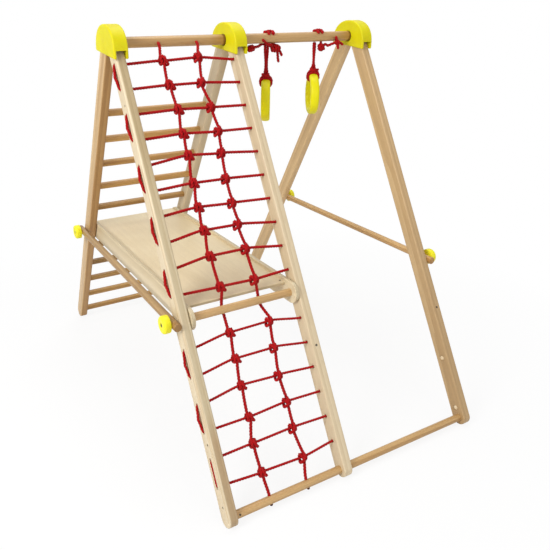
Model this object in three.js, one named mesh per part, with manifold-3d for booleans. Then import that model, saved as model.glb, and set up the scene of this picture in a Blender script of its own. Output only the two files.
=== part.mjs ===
// A child's folding climbing set of two joined A-frames: a rope net in front, a ladder behind,
// a low platform between them, and two gymnastic rings under the wider bay.
// Millimetres, +Z up. X runs along the top bars, -Y is the net side, the floor is z = 0.
import * as THREE from "three";
import { mergeVertices } from "three/addons/utils/BufferGeometryUtils.js";
import Module from "manifold-3d";

const wasm = await Module();
wasm.setup();

// Driving dimensions.
const LEFT_BAY = 391;
const RIGHT_BAY = 503;
const LEG_ANGLE = THREE.MathUtils.degToRad(29.57);
const LEG_WIDTH = 50;
const LEG_THICKNESS = 30;
const LEG_EDGE = 3;
const PIN_REACH = 31.9;
const FOOT_HEIGHT = 24;

const TOP_BAR_DIAMETER = 32;
const ROUND_BAR_DIAMETER = 24;
const ROUND_BAR_EDGE = 2.5;
const SOCKET_DEPTH = 12;

const CAP_WIDTH = 44;
const CAP_HALF_DEPTH = 83;
const CAP_TOP_HEIGHT = 1263;
const TOP_BAR_DROP = 53;
const PIN_DROP = 65.5;
const CAP_DOME_RISE = 73;
const CAP_ROUNDNESS = 2.2;
const CAP_DOME_WALL = 5;
const CAP_FRONT_SKIRT_DROP = 93;
const CAP_MOUTH_DROP = 70;
const CAP_RECESS_DEPTH = 5;
const CAP_EDGE = 2;
const BOSS_DIAMETER = 16;

const PIN_DIAMETER = 8;
const PIN_SEAT = 4;
const STUD_GRIP = 40;

const FIRST_ROW = 49.5;
const ROW_PITCH = 75.86;
const ROPE_DIAMETER = 8;
const ROPE_GROOVE_DEPTH = 5;
const KNOT_LENGTH = 24;
const KNOT_THICKNESS = 19;
const STOP_KNOT_LENGTH = 14;
const NET_TOP_DROP = 2;

const FIRST_RUNG = 240;
const LAST_RUNG_RISE = 14.24;
const RUNG_PLACES = 11;

const PLATFORM_HEIGHT = 501;
const BOARD_THICKNESS = 12;
const BOARD_HEIGHT = 68;
const BOARD_GAP = 2;
const BOARD_EDGE = 1.5;
const DOWEL_SEAT = 8;
const DECK_THICKNESS = 10;
const DECK_TOP_RISE = 23.5;
const DECK_FRONT_SETBACK = 29;
const DECK_REAR_OVERHANG = 28;
const DECK_GROOVE = 4;
const DECK_TONGUE = 6;
const DECK_NOSE = 3;

const STAY_OVERHANG = 38;
const STAY_GAP = 0.5;
const STAY_SLOT_LEAN = THREE.MathUtils.degToRad(33);
const KNOB_DIAMETER = 52;
const KNOB_THICKNESS = 22;
const KNOB_EDGE = 6;
const KNOB_INNER_EDGE = 2;
const KNOB_BOLT_RECESS = 4;
const BOLT_DIAMETER = 8;
const BOLT_GRIP = 50;
const BOLT_HEAD_DIAMETER = 15;
const BOLT_HEAD_HEIGHT = 5;

const RING_OUTER_DIAMETER = 140;
const RING_WIDTH = 26;
const RING_DEPTH = 22;
const LEFT_RING_X = 142;
const RIGHT_RING_X = 340;
const LEFT_RING_DROP = 199.5;
const RIGHT_RING_DROP = 191;
const LEFT_RING_TURN = THREE.MathUtils.degToRad(33);
const RIGHT_RING_TURN = THREE.MathUtils.degToRad(26);
const RING_LOOP_RADIUS = 19;
const STRAND_SPACING = 9.4;
const LEFT_STRAND_SPREAD = 13;
const RIGHT_STRAND_SPREAD = 9.4;
const HANGER_SPAN = 31;
const TOP_KNOT_THICKNESS = 15;
const LEFT_KNOT_THICKNESS = 24;
const LEFT_KNOT_LENGTH = 36;
const RIGHT_KNOT_THICKNESS = 29;
const RIGHT_KNOT_LENGTH = 34;
const TIE_KNOT_THICKNESS = 17;
const TIE_HOLE_DEPTH = 9;

const PLUG_DIAMETER = 16.5;
const PLUG_FLANGE = 1.2;
const PLUG_SHANK_DIAMETER = 11;
const PLUG_DEPTH = 16;
const UPPER_PLUG_RISE = 203.24;
const LOWER_PLUG_RISE = 33.24;
const TOP_ACCESSORY_HOLE = 175.6;
const ACCESSORY_HOLE_DIAMETER = 5.5;
const ACCESSORY_HOLE_DEPTH = 18;
const ACCESSORY_HOLE_OFFSET = 6;

const CLEARANCE = 0.3;
const ROPE_CLEARANCE = 0.7;
const BEYOND = 5;

const ROUND_SIDES = 16;
const SMALL_SIDES = 8;
const ROPE_SIDES = 6;
const ROPE_HOLE_SIDES = 8;
const RING_SIDES = 8;
const RING_STEPS = 24;
const TURN_STEPS = 14;

// A hole with few sides that a round pin of the same count of sides can turn in.
function turningFit(radius) {
  return (radius + CLEARANCE) / Math.cos(Math.PI / SMALL_SIDES);
}

// Places that follow from the driving dimensions.
const LEFT_X = -(LEFT_BAY + RIGHT_BAY) / 2;
const MIDDLE_X = LEFT_X + LEFT_BAY;
const RIGHT_X = MIDDLE_X + RIGHT_BAY;
const HALF_LEG = LEG_THICKNESS / 2;
const ALONG = Math.cos(LEG_ANGLE);
const TOP_BAR_HEIGHT = CAP_TOP_HEIGHT - TOP_BAR_DROP;
const PIN_HEIGHT = CAP_TOP_HEIGHT - PIN_DROP;
const CAP_SPRING_HEIGHT = CAP_TOP_HEIGHT - CAP_DOME_RISE;
const CAP_FRONT_SKIRT_HEIGHT = CAP_TOP_HEIGHT - CAP_FRONT_SKIRT_DROP;
const CAP_MOUTH_HEIGHT = CAP_TOP_HEIGHT - CAP_MOUTH_DROP;
const LEFT_RING_HEIGHT = TOP_BAR_HEIGHT - LEFT_RING_DROP;
const RIGHT_RING_HEIGHT = TOP_BAR_HEIGHT - RIGHT_RING_DROP;
const LEG_LENGTH = (PIN_HEIGHT - FOOT_HEIGHT) / ALONG;
const RUNG_PITCH = (LEG_LENGTH - LAST_RUNG_RISE - FIRST_RUNG) / (RUNG_PLACES - 1);
const UPPER_PLUG = LEG_LENGTH - UPPER_PLUG_RISE;
const LOWER_PLUG = LEG_LENGTH - LOWER_PLUG_RISE;
const ACCESSORY_HOLES = [TOP_ACCESSORY_HOLE, UPPER_PLUG, LOWER_PLUG];
const PLATFORM_DROP = (PIN_HEIGHT - PLATFORM_HEIGHT) / ALONG;
const PLATFORM_REACH = PIN_REACH + PLATFORM_DROP * Math.sin(LEG_ANGLE);
const TOP_BAR_RADIUS = TOP_BAR_DIAMETER / 2;
const ROUND_BAR_RADIUS = ROUND_BAR_DIAMETER / 2;
const ROPE_RADIUS = ROPE_DIAMETER / 2;
const BOLT_RADIUS = BOLT_DIAMETER / 2;
const BOLT_HOLE = turningFit(BOLT_RADIUS);
const PIN_HOLE = turningFit(PIN_DIAMETER / 2);
const CAP_CAVITY = LEG_THICKNESS / 2 + CLEARANCE;

const WOOD_LEG = { color: 0xe3caa5, roughness: 0.55, metalness: 0 };
const WOOD_ROUND = { color: 0xc39a66, roughness: 0.5, metalness: 0 };
const WOOD_PLY = { color: 0xd8c19c, roughness: 0.5, metalness: 0 };
const PLASTIC = { color: 0xe8de20, roughness: 0.4, metalness: 0 };
const ROPE = { color: 0x8a1a1e, roughness: 0.9, metalness: 0 };
const STEEL = { color: 0x9c9c98, roughness: 0.35, metalness: 0.9 };
const PLUG_WOOD = { color: 0xd0b48a, roughness: 0.6, metalness: 0 };

// Solids: a geometry as a manifold and back.
function manifoldOf(geometry) {
  const bare = geometry.clone();
  bare.deleteAttribute("normal");
  bare.deleteAttribute("uv");
  const merged = mergeVertices(bare, 1e-4);
  return new wasm.Manifold(
    new wasm.Mesh({
      numProp: 3,
      vertProperties: merged.attributes.position.array,
      triVerts: new Uint32Array(merged.index.array),
    }),
  );
}

function geometryOf(manifold) {
  const mesh = manifold.getMesh();
  const geometry = new THREE.BufferGeometry();
  geometry.setAttribute("position", new THREE.BufferAttribute(mesh.vertProperties, 3));
  geometry.setIndex(new THREE.BufferAttribute(mesh.triVerts, 1));
  geometry.computeVertexNormals();
  return geometry;
}

function join(...geometries) {
  return geometryOf(geometries.map(manifoldOf).reduce((whole, next) => whole.add(next)));
}

function cut(geometry, tools) {
  const start = manifoldOf(geometry);
  return geometryOf(tools.map(manifoldOf).reduce((rest, tool) => rest.subtract(tool), start));
}

// A body of revolution about an X axis through (y, z): the profile lists [x, radius].
function turned(profile, y, z, sides = ROUND_SIDES) {
  const points = profile.map(([x, radius]) => new THREE.Vector2(radius, x));
  return new THREE.LatheGeometry(points, sides).rotateZ(-Math.PI / 2).translate(0, y, z);
}

// A round bar along X with eased ends.
function roundBar(radius, from, to, y, z, edge = 0, sides = ROUND_SIDES) {
  const profile = [[from, 0]];
  if (edge > 0) {
    profile.push([from, radius - edge], [from + edge, radius]);
    profile.push([to - edge, radius], [to, radius - edge]);
  } else {
    profile.push([from, radius], [to, radius]);
  }
  profile.push([to, 0]);
  return turned(profile, y, z, sides);
}

// A flat piece whose outline lies in YZ, between two X planes.
function plate(outline, from, to, edge = 0, curveSegments = 5) {
  const geometry = new THREE.ExtrudeGeometry(outline, {
    depth: to - from - 2 * edge,
    bevelEnabled: edge > 0,
    bevelThickness: edge,
    bevelSize: edge,
    bevelOffset: -edge,
    bevelSegments: 1,
    curveSegments,
  });
  const turn = new THREE.Matrix4().makeBasis(
    new THREE.Vector3(0, 1, 0),
    new THREE.Vector3(0, 0, 1),
    new THREE.Vector3(1, 0, 0),
  );
  return geometry.applyMatrix4(turn).translate(from + edge, 0, 0);
}

function block(width, depth, height, x, y, z) {
  return new THREE.BoxGeometry(width, depth, height).translate(x, y, z);
}

// A stadium outline from (y0, z0) to (y1, z1).
function stadium(radius, y0, z0, y1, z1) {
  const heading = Math.atan2(z1 - z0, y1 - y0);
  const outline = new THREE.Shape();
  outline.absarc(y0, z0, radius, heading + Math.PI / 2, heading + 1.5 * Math.PI, false);
  outline.absarc(y1, z1, radius, heading - Math.PI / 2, heading + Math.PI / 2, false);
  return outline;
}

function piece(parent, name, geometry, finish) {
  const mesh = new THREE.Mesh(geometry, new THREE.MeshStandardMaterial(finish));
  mesh.name = name;
  parent.add(mesh);
  return mesh;
}

// A rope: one closed tube along a list of points, each a centre and the radius there.
function ropeTube(path, sides = ROPE_SIDES) {
  const last = path.length - 1;
  const centres = path.map((stop) => stop.centre);
  const positions = [];
  const indices = [];
  const normal = new THREE.Vector3(0.31, 0.52, 0.8);
  path.forEach(({ centre, radius }, i) => {
    const before = centres[Math.max(i - 1, 0)];
    const tangent = centres[Math.min(i + 1, last)].clone().sub(before).normalize();
    normal.addScaledVector(tangent, -normal.dot(tangent)).normalize();
    const binormal = tangent.clone().cross(normal);
    for (let k = 0; k < sides; k += 1) {
      const angle = (2 * Math.PI * k) / sides;
      const point = centre.clone();
      point.addScaledVector(normal, radius * Math.cos(angle));
      point.addScaledVector(binormal, radius * Math.sin(angle));
      positions.push(point.x, point.y, point.z);
    }
  });
  for (let i = 0; i < last; i += 1) {
    for (let k = 0; k < sides; k += 1) {
      const a = i * sides + k;
      const b = i * sides + ((k + 1) % sides);
      indices.push(a, b, b + sides, a, b + sides, a + sides);
    }
  }
  for (let k = 1; k < sides - 1; k += 1) {
    indices.push(0, k + 1, k);
    indices.push(last * sides, last * sides + k, last * sides + k + 1);
  }
  const geometry = new THREE.BufferGeometry();
  geometry.setAttribute("position", new THREE.Float32BufferAttribute(positions, 3));
  geometry.setIndex(indices);
  return geometry;
}

function plainRope(points) {
  return points.map((centre) => ({ centre, radius: ROPE_RADIUS }));
}

// A knot is a swelling of its own rope, centred on a point and lying along a direction.
function knotSwelling(centre, direction, length = KNOT_LENGTH) {
  const along = direction.clone().normalize();
  const at = (share, radius) => ({
    centre: centre.clone().addScaledVector(along, share * length),
    radius,
  });
  const thick = KNOT_THICKNESS / 2;
  return [at(-0.5, ROPE_RADIUS), at(-0.25, thick), at(0.25, thick), at(0.5, ROPE_RADIUS)];
}

const root = new THREE.Group();

// Both frames hang from their cap pins: local -Z runs down the legs.
const frontFrame = new THREE.Group();
frontFrame.position.set(0, -PIN_REACH, PIN_HEIGHT);
frontFrame.rotation.x = -LEG_ANGLE;
root.add(frontFrame);
const rearFrame = new THREE.Group();
rearFrame.position.set(0, PIN_REACH, PIN_HEIGHT);
rearFrame.rotation.x = LEG_ANGLE;
root.add(rearFrame);
const platform = new THREE.Group();
platform.position.set(0, -PLATFORM_REACH, PLATFORM_HEIGHT);
root.add(platform);
root.updateMatrixWorld(true);

function intoFrame(frame, geometry) {
  return geometry.applyMatrix4(frame.matrixWorld.clone().invert());
}

function pointInto(frame, x, y, z) {
  return frame.worldToLocal(new THREE.Vector3(x, y, z));
}

// Legs.
function legBlank(x) {
  const outline = stadium(LEG_WIDTH / 2, 0, -LEG_LENGTH, 0, 0);
  return plate(outline, x - HALF_LEG, x + HALF_LEG, LEG_EDGE);
}

function floorBlock(frame) {
  const width = LEFT_BAY + RIGHT_BAY + 4 * LEG_THICKNESS;
  const reach = 2 * (PLATFORM_REACH + LEG_LENGTH);
  return intoFrame(frame, block(width, reach, LEG_WIDTH, 0, 0, -LEG_WIDTH / 2));
}

function hole(radius, from, to, drop, offset = 0, sides = SMALL_SIDES) {
  return roundBar(radius, from, to, offset, -drop, 0, sides);
}

function through(radius, x, drop, sides = SMALL_SIDES) {
  return hole(radius, x - HALF_LEG - BEYOND, x + HALF_LEG + BEYOND, drop, 0, sides);
}

// A blind socket in the leg's right (+1) or left (-1) face.
function blindSocket(radius, x, side, depth, drop, sides = SMALL_SIDES) {
  const face = x + side * HALF_LEG;
  const ends = [face - side * depth, face + side * BEYOND].sort((a, b) => a - b);
  return hole(radius, ends[0], ends[1], drop, 0, sides);
}

function roundSocket(x, side, drop) {
  return blindSocket(ROUND_BAR_RADIUS + CLEARANCE, x, side, SOCKET_DEPTH, drop, ROUND_SIDES);
}

// Rows of rope: the place of the platform's front dowel has no row.
const rowDrops = [];
for (let place = 0; FIRST_ROW + place * ROW_PITCH < LEG_LENGTH - LEG_WIDTH; place += 1) {
  const drop = FIRST_ROW + place * ROW_PITCH;
  if (Math.abs(drop - PLATFORM_DROP) > ROW_PITCH / 2) {
    rowDrops.push(drop);
  }
}
const upperRows = rowDrops.filter((drop) => drop < PLATFORM_DROP);
const lowerRows = rowDrops.filter((drop) => drop > PLATFORM_DROP);

// Each rope starts on the hidden face and passes from row to row outside the legs.
function turnsOf(rows, side) {
  const turns = [];
  for (let i = side < 0 ? 0 : 1; i + 1 < rows.length; i += 2) {
    turns.push([rows[i], rows[i + 1]]);
  }
  return turns;
}

const ROPE_HOLE = ROPE_RADIUS + ROPE_CLEARANCE;

function ropeHoles(x) {
  return rowDrops.map((drop) => through(ROPE_HOLE, x, drop, ROPE_HOLE_SIDES));
}

function ropeGrooves(x, side) {
  const face = x + side * HALF_LEG;
  return [...turnsOf(upperRows, side), ...turnsOf(lowerRows, side)].map(([top, bottom]) => {
    const outline = stadium(ROPE_HOLE, 0, -bottom, 0, -top);
    const ends = [face - side * ROPE_GROOVE_DEPTH, face + side * BEYOND].sort((a, b) => a - b);
    return plate(outline, ends[0], ends[1], 0, 2);
  });
}

function accessoryHoles() {
  const face = LEFT_X - HALF_LEG;
  const radius = ACCESSORY_HOLE_DIAMETER / 2;
  return ACCESSORY_HOLES.map((drop) =>
    hole(radius, face - BEYOND, face + ACCESSORY_HOLE_DEPTH, drop, -ACCESSORY_HOLE_OFFSET, 8),
  );
}

function plugSeat(drop) {
  const face = RIGHT_X - HALF_LEG;
  const flange = PLUG_DIAMETER / 2 + CLEARANCE;
  const shank = PLUG_SHANK_DIAMETER / 2 + CLEARANCE;
  const floor = face + PLUG_FLANGE + CLEARANCE;
  const bottom = face + PLUG_DEPTH + CLEARANCE;
  const profile = [
    [face - BEYOND, 0],
    [face - BEYOND, flange],
    [floor, flange],
    [floor, shank],
    [bottom, shank],
    [bottom, 0],
  ];
  return turned(profile, 0, -drop, SMALL_SIDES);
}

function frontLegs() {
  const floor = floorBlock(frontFrame);
  const shared = (x) => [floor, through(PIN_HOLE, x, 0)];
  const leftLeg = cut(legBlank(LEFT_X), [
    ...shared(LEFT_X),
    through(BOLT_HOLE, LEFT_X, PLATFORM_DROP),
    ...ropeHoles(LEFT_X),
    ...ropeGrooves(LEFT_X, -1),
    ...accessoryHoles(),
    roundSocket(LEFT_X, 1, LEG_LENGTH),
  ]);
  const middleLeg = cut(legBlank(MIDDLE_X), [
    ...shared(MIDDLE_X),
    through(BOLT_HOLE, MIDDLE_X, PLATFORM_DROP),
    ...ropeHoles(MIDDLE_X),
    ...ropeGrooves(MIDDLE_X, 1),
    roundSocket(MIDDLE_X, -1, LEG_LENGTH),
    roundSocket(MIDDLE_X, 1, LEG_LENGTH),
  ]);
  const rightLeg = cut(legBlank(RIGHT_X), [
    ...shared(RIGHT_X),
    blindSocket(BOLT_HOLE, RIGHT_X, 1, LEG_THICKNESS - BEYOND, PLATFORM_DROP),
    roundSocket(RIGHT_X, -1, LEG_LENGTH),
    plugSeat(UPPER_PLUG),
    plugSeat(LOWER_PLUG),
  ]);
  piece(frontFrame, "left_front_leg", leftLeg, WOOD_LEG);
  piece(frontFrame, "middle_front_leg", middleLeg, WOOD_LEG);
  piece(frontFrame, "right_front_leg", rightLeg, WOOD_LEG);
}

function plug(name, drop) {
  const face = RIGHT_X - HALF_LEG;
  const flange = PLUG_DIAMETER / 2;
  const shank = PLUG_SHANK_DIAMETER / 2;
  const profile = [
    [face, 0],
    [face, flange],
    [face + PLUG_FLANGE, flange],
    [face + PLUG_FLANGE, shank],
    [face + PLUG_DEPTH, shank],
    [face + PLUG_DEPTH, 0],
  ];
  piece(frontFrame, name, turned(profile, 0, -drop, SMALL_SIDES), PLUG_WOOD);
}

// The ladder's places are evenly spaced, and the one nearest to the platform stays empty.
const platformPlace = Math.round((PLATFORM_DROP - FIRST_RUNG) / RUNG_PITCH);
const rungDrops = [];
for (let place = 0; place < RUNG_PLACES; place += 1) {
  if (place !== platformPlace) {
    rungDrops.push(FIRST_RUNG + place * RUNG_PITCH);
  }
}

function rearLegs() {
  const floor = floorBlock(rearFrame);
  const shared = (x) => [floor, through(PIN_HOLE, x, 0)];
  const leftLeg = cut(legBlank(LEFT_X), [
    ...shared(LEFT_X),
    through(BOLT_HOLE, LEFT_X, PLATFORM_DROP),
    ...rungDrops.map((drop) => roundSocket(LEFT_X, 1, drop)),
  ]);
  const middleLeg = cut(legBlank(MIDDLE_X), [
    ...shared(MIDDLE_X),
    through(BOLT_HOLE, MIDDLE_X, PLATFORM_DROP),
    ...rungDrops.map((drop) => roundSocket(MIDDLE_X, -1, drop)),
    roundSocket(MIDDLE_X, 1, LEG_LENGTH),
  ]);
  const rightLeg = cut(legBlank(RIGHT_X), [
    ...shared(RIGHT_X),
    blindSocket(BOLT_HOLE, RIGHT_X, 1, LEG_THICKNESS - BEYOND, PLATFORM_DROP),
    roundSocket(RIGHT_X, -1, LEG_LENGTH),
  ]);
  piece(rearFrame, "left_rear_leg", leftLeg, WOOD_LEG);
  piece(rearFrame, "middle_rear_leg", middleLeg, WOOD_LEG);
  piece(rearFrame, "right_rear_leg", rightLeg, WOOD_LEG);
}

// A round bar between the inner faces of two legs, seated in their sockets.
function crossBar(fromLeg, toLeg, drop) {
  const seat = SOCKET_DEPTH - CLEARANCE;
  const from = fromLeg + HALF_LEG - seat;
  const to = toLeg - HALF_LEG + seat;
  return roundBar(ROUND_BAR_RADIUS, from, to, 0, -drop);
}

function rungs() {
  rungDrops.forEach((drop, index) => {
    piece(rearFrame, `rear_rung_${index + 1}`, crossBar(LEFT_X, MIDDLE_X, drop), WOOD_ROUND);
  });
  const dowel = crossBar(MIDDLE_X, RIGHT_X, LEG_LENGTH);
  piece(rearFrame, "right_rear_bottom_dowel", dowel, WOOD_ROUND);
}

// Caps: a dome over two side walls, open below, with a boss on the line of the top bars.
function domePoint(halfDepth, rise, turn) {
  const power = 2 / CAP_ROUNDNESS;
  const y = -halfDepth * Math.sign(Math.cos(turn)) * Math.abs(Math.cos(turn)) ** power;
  return new THREE.Vector2(y, CAP_SPRING_HEIGHT + rise * Math.sin(turn) ** power);
}

function dome(halfDepth, rise, steps) {
  const points = [];
  for (let i = 0; i <= steps; i += 1) {
    points.push(domePoint(halfDepth, rise, (Math.PI * i) / steps));
  }
  return points;
}

function capSolid(x, barSides) {
  const outer = dome(CAP_HALF_DEPTH, CAP_DOME_RISE, 12);
  outer.push(new THREE.Vector2(CAP_HALF_DEPTH - CAP_EDGE, CAP_MOUTH_HEIGHT - 2 * CAP_EDGE));
  outer.push(new THREE.Vector2(-CAP_HALF_DEPTH + 2 * CAP_EDGE, CAP_FRONT_SKIRT_HEIGHT));
  outer.push(new THREE.Vector2(-CAP_HALF_DEPTH, CAP_FRONT_SKIRT_HEIGHT + 3 * CAP_EDGE));
  const shell = plate(
    new THREE.Shape(outer.reverse()),
    x - CAP_WIDTH / 2,
    x + CAP_WIDTH / 2,
    CAP_EDGE,
  );
  const inner = dome(CAP_HALF_DEPTH - CAP_DOME_WALL, CAP_DOME_RISE - CAP_DOME_WALL, 8);
  const cavity = plate(new THREE.Shape(inner.reverse()), x - CAP_CAVITY, x + CAP_CAVITY);
  const mouth = block(
    2 * CAP_CAVITY,
    2 * (CAP_HALF_DEPTH + BEYOND),
    LEG_WIDTH,
    x,
    0,
    CAP_MOUTH_HEIGHT - LEG_WIDTH / 2,
  );
  const boss = roundBar(
    BOSS_DIAMETER / 2,
    x - CAP_CAVITY - CLEARANCE,
    x + CAP_CAVITY + CLEARANCE,
    0,
    TOP_BAR_HEIGHT,
    0,
    SMALL_SIDES,
  );
  const tools = barSides.map((side) => {
    const face = x + (side * CAP_WIDTH) / 2;
    const ends = [face - side * CAP_RECESS_DEPTH, face + side * BEYOND].sort((a, b) => a - b);
    return roundBar(TOP_BAR_RADIUS + CLEARANCE, ends[0], ends[1], 0, TOP_BAR_HEIGHT);
  });
  const [from, to] = studSpan(x, barSides);
  tools.push(
    roundBar(PIN_HOLE, from - CLEARANCE, to + CLEARANCE, 0, TOP_BAR_HEIGHT, 0, SMALL_SIDES),
  );
  [-1, 1].forEach((side) => {
    const reach = CAP_CAVITY + PIN_SEAT;
    const y = side * PIN_REACH;
    tools.push(roundBar(PIN_HOLE, x - reach, x + reach, y, PIN_HEIGHT, 0, SMALL_SIDES));
  });
  return cut(join(cut(shell, [cavity, mouth]), boss), tools);
}

// The stud reaches into each bar; on the plain side it stops inside the wall.
function studSpan(x, barSides) {
  const grip = CAP_WIDTH / 2 + STUD_GRIP;
  const blind = CAP_CAVITY + PIN_SEAT - 1;
  return [x - (barSides.includes(-1) ? grip : blind), x + (barSides.includes(1) ? grip : blind)];
}

const capPlaces = [
  ["left", LEFT_X, [1]],
  ["middle", MIDDLE_X, [-1, 1]],
  ["right", RIGHT_X, [-1]],
];

function caps() {
  capPlaces.forEach(([side, x, barSides]) => {
    piece(root, `${side}_cap`, capSolid(x, barSides), PLASTIC);
    const [from, to] = studSpan(x, barSides);
    const radius = PIN_DIAMETER / 2;
    const stud = roundBar(radius, from, to, 0, TOP_BAR_HEIGHT, 0, SMALL_SIDES);
    piece(root, `${side}_tie_stud`, stud, STEEL);
    const reach = CAP_CAVITY + PIN_SEAT - CLEARANCE;
    [
      ["front", -PIN_REACH],
      ["rear", PIN_REACH],
    ].forEach(([end, y]) => {
      const pin = roundBar(radius, x - reach, x + reach, y, PIN_HEIGHT, 0, SMALL_SIDES);
      piece(root, `${side}_${end}_pin`, pin, STEEL);
    });
  });
}

// Top bars between the caps, bored for the studs.
function barBlank(fromCap, toCap) {
  const seat = CAP_WIDTH / 2 - CAP_RECESS_DEPTH + CLEARANCE;
  const from = fromCap + seat;
  const to = toCap - seat;
  const bore = STUD_GRIP + CAP_RECESS_DEPTH + 2;
  const radius = PIN_HOLE;
  const bar = roundBar(TOP_BAR_RADIUS, from, to, 0, TOP_BAR_HEIGHT);
  return cut(bar, [
    roundBar(radius, from - BEYOND, from + bore, 0, TOP_BAR_HEIGHT, 0, SMALL_SIDES),
    roundBar(radius, to - bore, to + BEYOND, 0, TOP_BAR_HEIGHT, 0, SMALL_SIDES),
  ]);
}

// The net: places of its knots as [distance from the left leg, lift above the row].
const LEFT_KNOTS = [
  [136, 6],
  [138, 5],
  [146, 4],
  [142, 5],
  [142, 14],
  [136, 6],
  [132, 9],
  [132, 15],
  [131, 14],
  [139, -3],
  [133, 15],
  [131, 15],
  [128, 14],
  [128, -1],
  [120, 2],
  [125, -6],
];
const RIGHT_KNOTS = [
  [254, 11],
  [243, 6],
  [254, 2],
  [258, 1],
  [250, 9],
  [243, 5],
  [243, 5],
  [244, 14],
  [249, 14],
  [253, -5],
  [267, 16],
  [260, 14],
  [252, 9],
  [257, 4],
  [255, 4],
  [264, -10],
];
const KNOT_SPAN = 391;
const LEFT_UPRIGHT = { top: 139, foot: 130, knots: LEFT_KNOTS };
const RIGHT_UPRIGHT = { top: 266, foot: 257, knots: RIGHT_KNOTS };

function netX(distance) {
  return LEFT_X + (distance * LEFT_BAY) / KNOT_SPAN;
}

function knotPoint(upright, row) {
  const [distance, lift] = upright.knots[row % upright.knots.length];
  return new THREE.Vector3(netX(distance), 0, lift - rowDrops[row]);
}

const UPRIGHT_BEHIND_DOWEL = ROUND_BAR_RADIUS + ROPE_RADIUS + 0.5;
const TURN_BEND = 7;
const TURN_PROUD = 1.2;
const TURN_BULGE = 2.2;
const DOWEL_BOW = 12;
const FOOT_KNOT_LENGTH = 10;

// The rope outside a leg, from one row's hole to the next, in its groove.
function outerTurn(x, side, top, bottom, bulge) {
  const face = x + side * HALF_LEG;
  const points = [];
  const add = (out, drop) => points.push(new THREE.Vector3(face + side * out, 0, -drop));
  const start = TURN_PROUD - TURN_BEND;
  for (let i = 0; i <= 2; i += 1) {
    const turn = (Math.PI * i) / 4;
    add(start + TURN_BEND * Math.sin(turn), top + TURN_BEND * (1 - Math.cos(turn)));
  }
  add(TURN_PROUD + bulge, (top + bottom) / 2);
  for (let i = 2; i >= 0; i -= 1) {
    const turn = (Math.PI * i) / 4;
    add(start + TURN_BEND * Math.sin(turn), bottom - TURN_BEND * (1 - Math.cos(turn)));
  }
  return points;
}

// One rope laced through its rows, from a stop knot on the hidden face and back to it.
function lacedRope(rows) {
  const first = rowDrops.indexOf(rows[0]);
  const out = new THREE.Vector3(1, 0, 0);
  const stopAt = (drop) => {
    const x = MIDDLE_X + HALF_LEG + CLEARANCE + STOP_KNOT_LENGTH / 2;
    return new THREE.Vector3(x, 0, -drop);
  };
  const back = out.clone().negate();
  const path = knotSwelling(stopAt(rows[0]), back, STOP_KNOT_LENGTH);
  rows.forEach((drop, i) => {
    const knots = [knotPoint(LEFT_UPRIGHT, first + i), knotPoint(RIGHT_UPRIGHT, first + i)];
    const leftEnd = new THREE.Vector3(LEFT_X + HALF_LEG, 0, -drop);
    const rightEnd = new THREE.Vector3(MIDDLE_X - HALF_LEG, 0, -drop);
    const leftward = i % 2 === 0;
    const run = [leftEnd, ...knots, rightEnd];
    path.push(...plainRope(leftward ? run.reverse() : run));
    if (i + 1 < rows.length) {
      const sunk = leftward && drop === lowerRows[lowerRows.length - 2];
      const bulge = sunk ? -TURN_PROUD - 1 : TURN_BULGE;
      const turn = leftward
        ? outerTurn(LEFT_X, -1, drop, rows[i + 1], bulge)
        : outerTurn(MIDDLE_X, 1, drop, rows[i + 1], bulge);
      path.push(...plainRope(turn));
    }
  });
  path.push(...knotSwelling(stopAt(rows[rows.length - 1]), out, STOP_KNOT_LENGTH));
  return path;
}

// An upright rope: from a stop knot behind the top bar down to a knot under the bottom dowel.
function uprightRope(upright) {
  const topX = netX(upright.top);
  const footX = netX(upright.foot);
  const topZ = TOP_BAR_HEIGHT - NET_TOP_DROP;
  const inward = pointInto(frontFrame, 0, -1, 0).sub(pointInto(frontFrame, 0, 0, 0));
  const behind = TOP_BAR_RADIUS + CLEARANCE + STOP_KNOT_LENGTH / 2;
  const barFace = TOP_BAR_RADIUS + ROPE_RADIUS;
  const bend = [
    [TOP_BAR_RADIUS, 0],
    [barFace + 2, 1],
    [barFace + 8, 5],
    [barFace + 14, 13],
  ];
  const path = knotSwelling(pointInto(frontFrame, topX, behind, topZ), inward, STOP_KNOT_LENGTH);
  path.push(...plainRope(bend.map(([out, drop]) => pointInto(frontFrame, topX, -out, topZ - drop))));
  rowDrops.forEach((drop, row) => {
    const here = knotPoint(upright, row);
    path.push(...knotSwelling(here, new THREE.Vector3(0, 0, -1)));
    if (row === upperRows.length - 1) {
      const x = (here.x + knotPoint(upright, row + 1).x) / 2;
      const bow = [DOWEL_BOW, 0, -DOWEL_BOW].map((drift) => {
        const y = UPRIGHT_BEHIND_DOWEL - Math.abs(drift) / 6;
        return new THREE.Vector3(x, y, drift - PLATFORM_DROP);
      });
      path.push(...plainRope(bow));
    }
  });
  const above = new THREE.Vector3(footX, 0, ROUND_BAR_RADIUS + ROPE_DIAMETER - LEG_LENGTH);
  const under = ROUND_BAR_RADIUS + CLEARANCE + FOOT_KNOT_LENGTH / 2;
  const foot = new THREE.Vector3(footX, 0, -LEG_LENGTH - under);
  path.push(...plainRope([above]));
  path.push(...knotSwelling(foot, new THREE.Vector3(0, 0, -1), FOOT_KNOT_LENGTH));
  return path;
}

function climbingNet() {
  const ropes = [lacedRope(upperRows), lacedRope(lowerRows)];
  ropes.push(uprightRope(LEFT_UPRIGHT), uprightRope(RIGHT_UPRIGHT));
  piece(frontFrame, "climbing_net", join(...ropes.map((path) => ropeTube(path))), ROPE);
}

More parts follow.
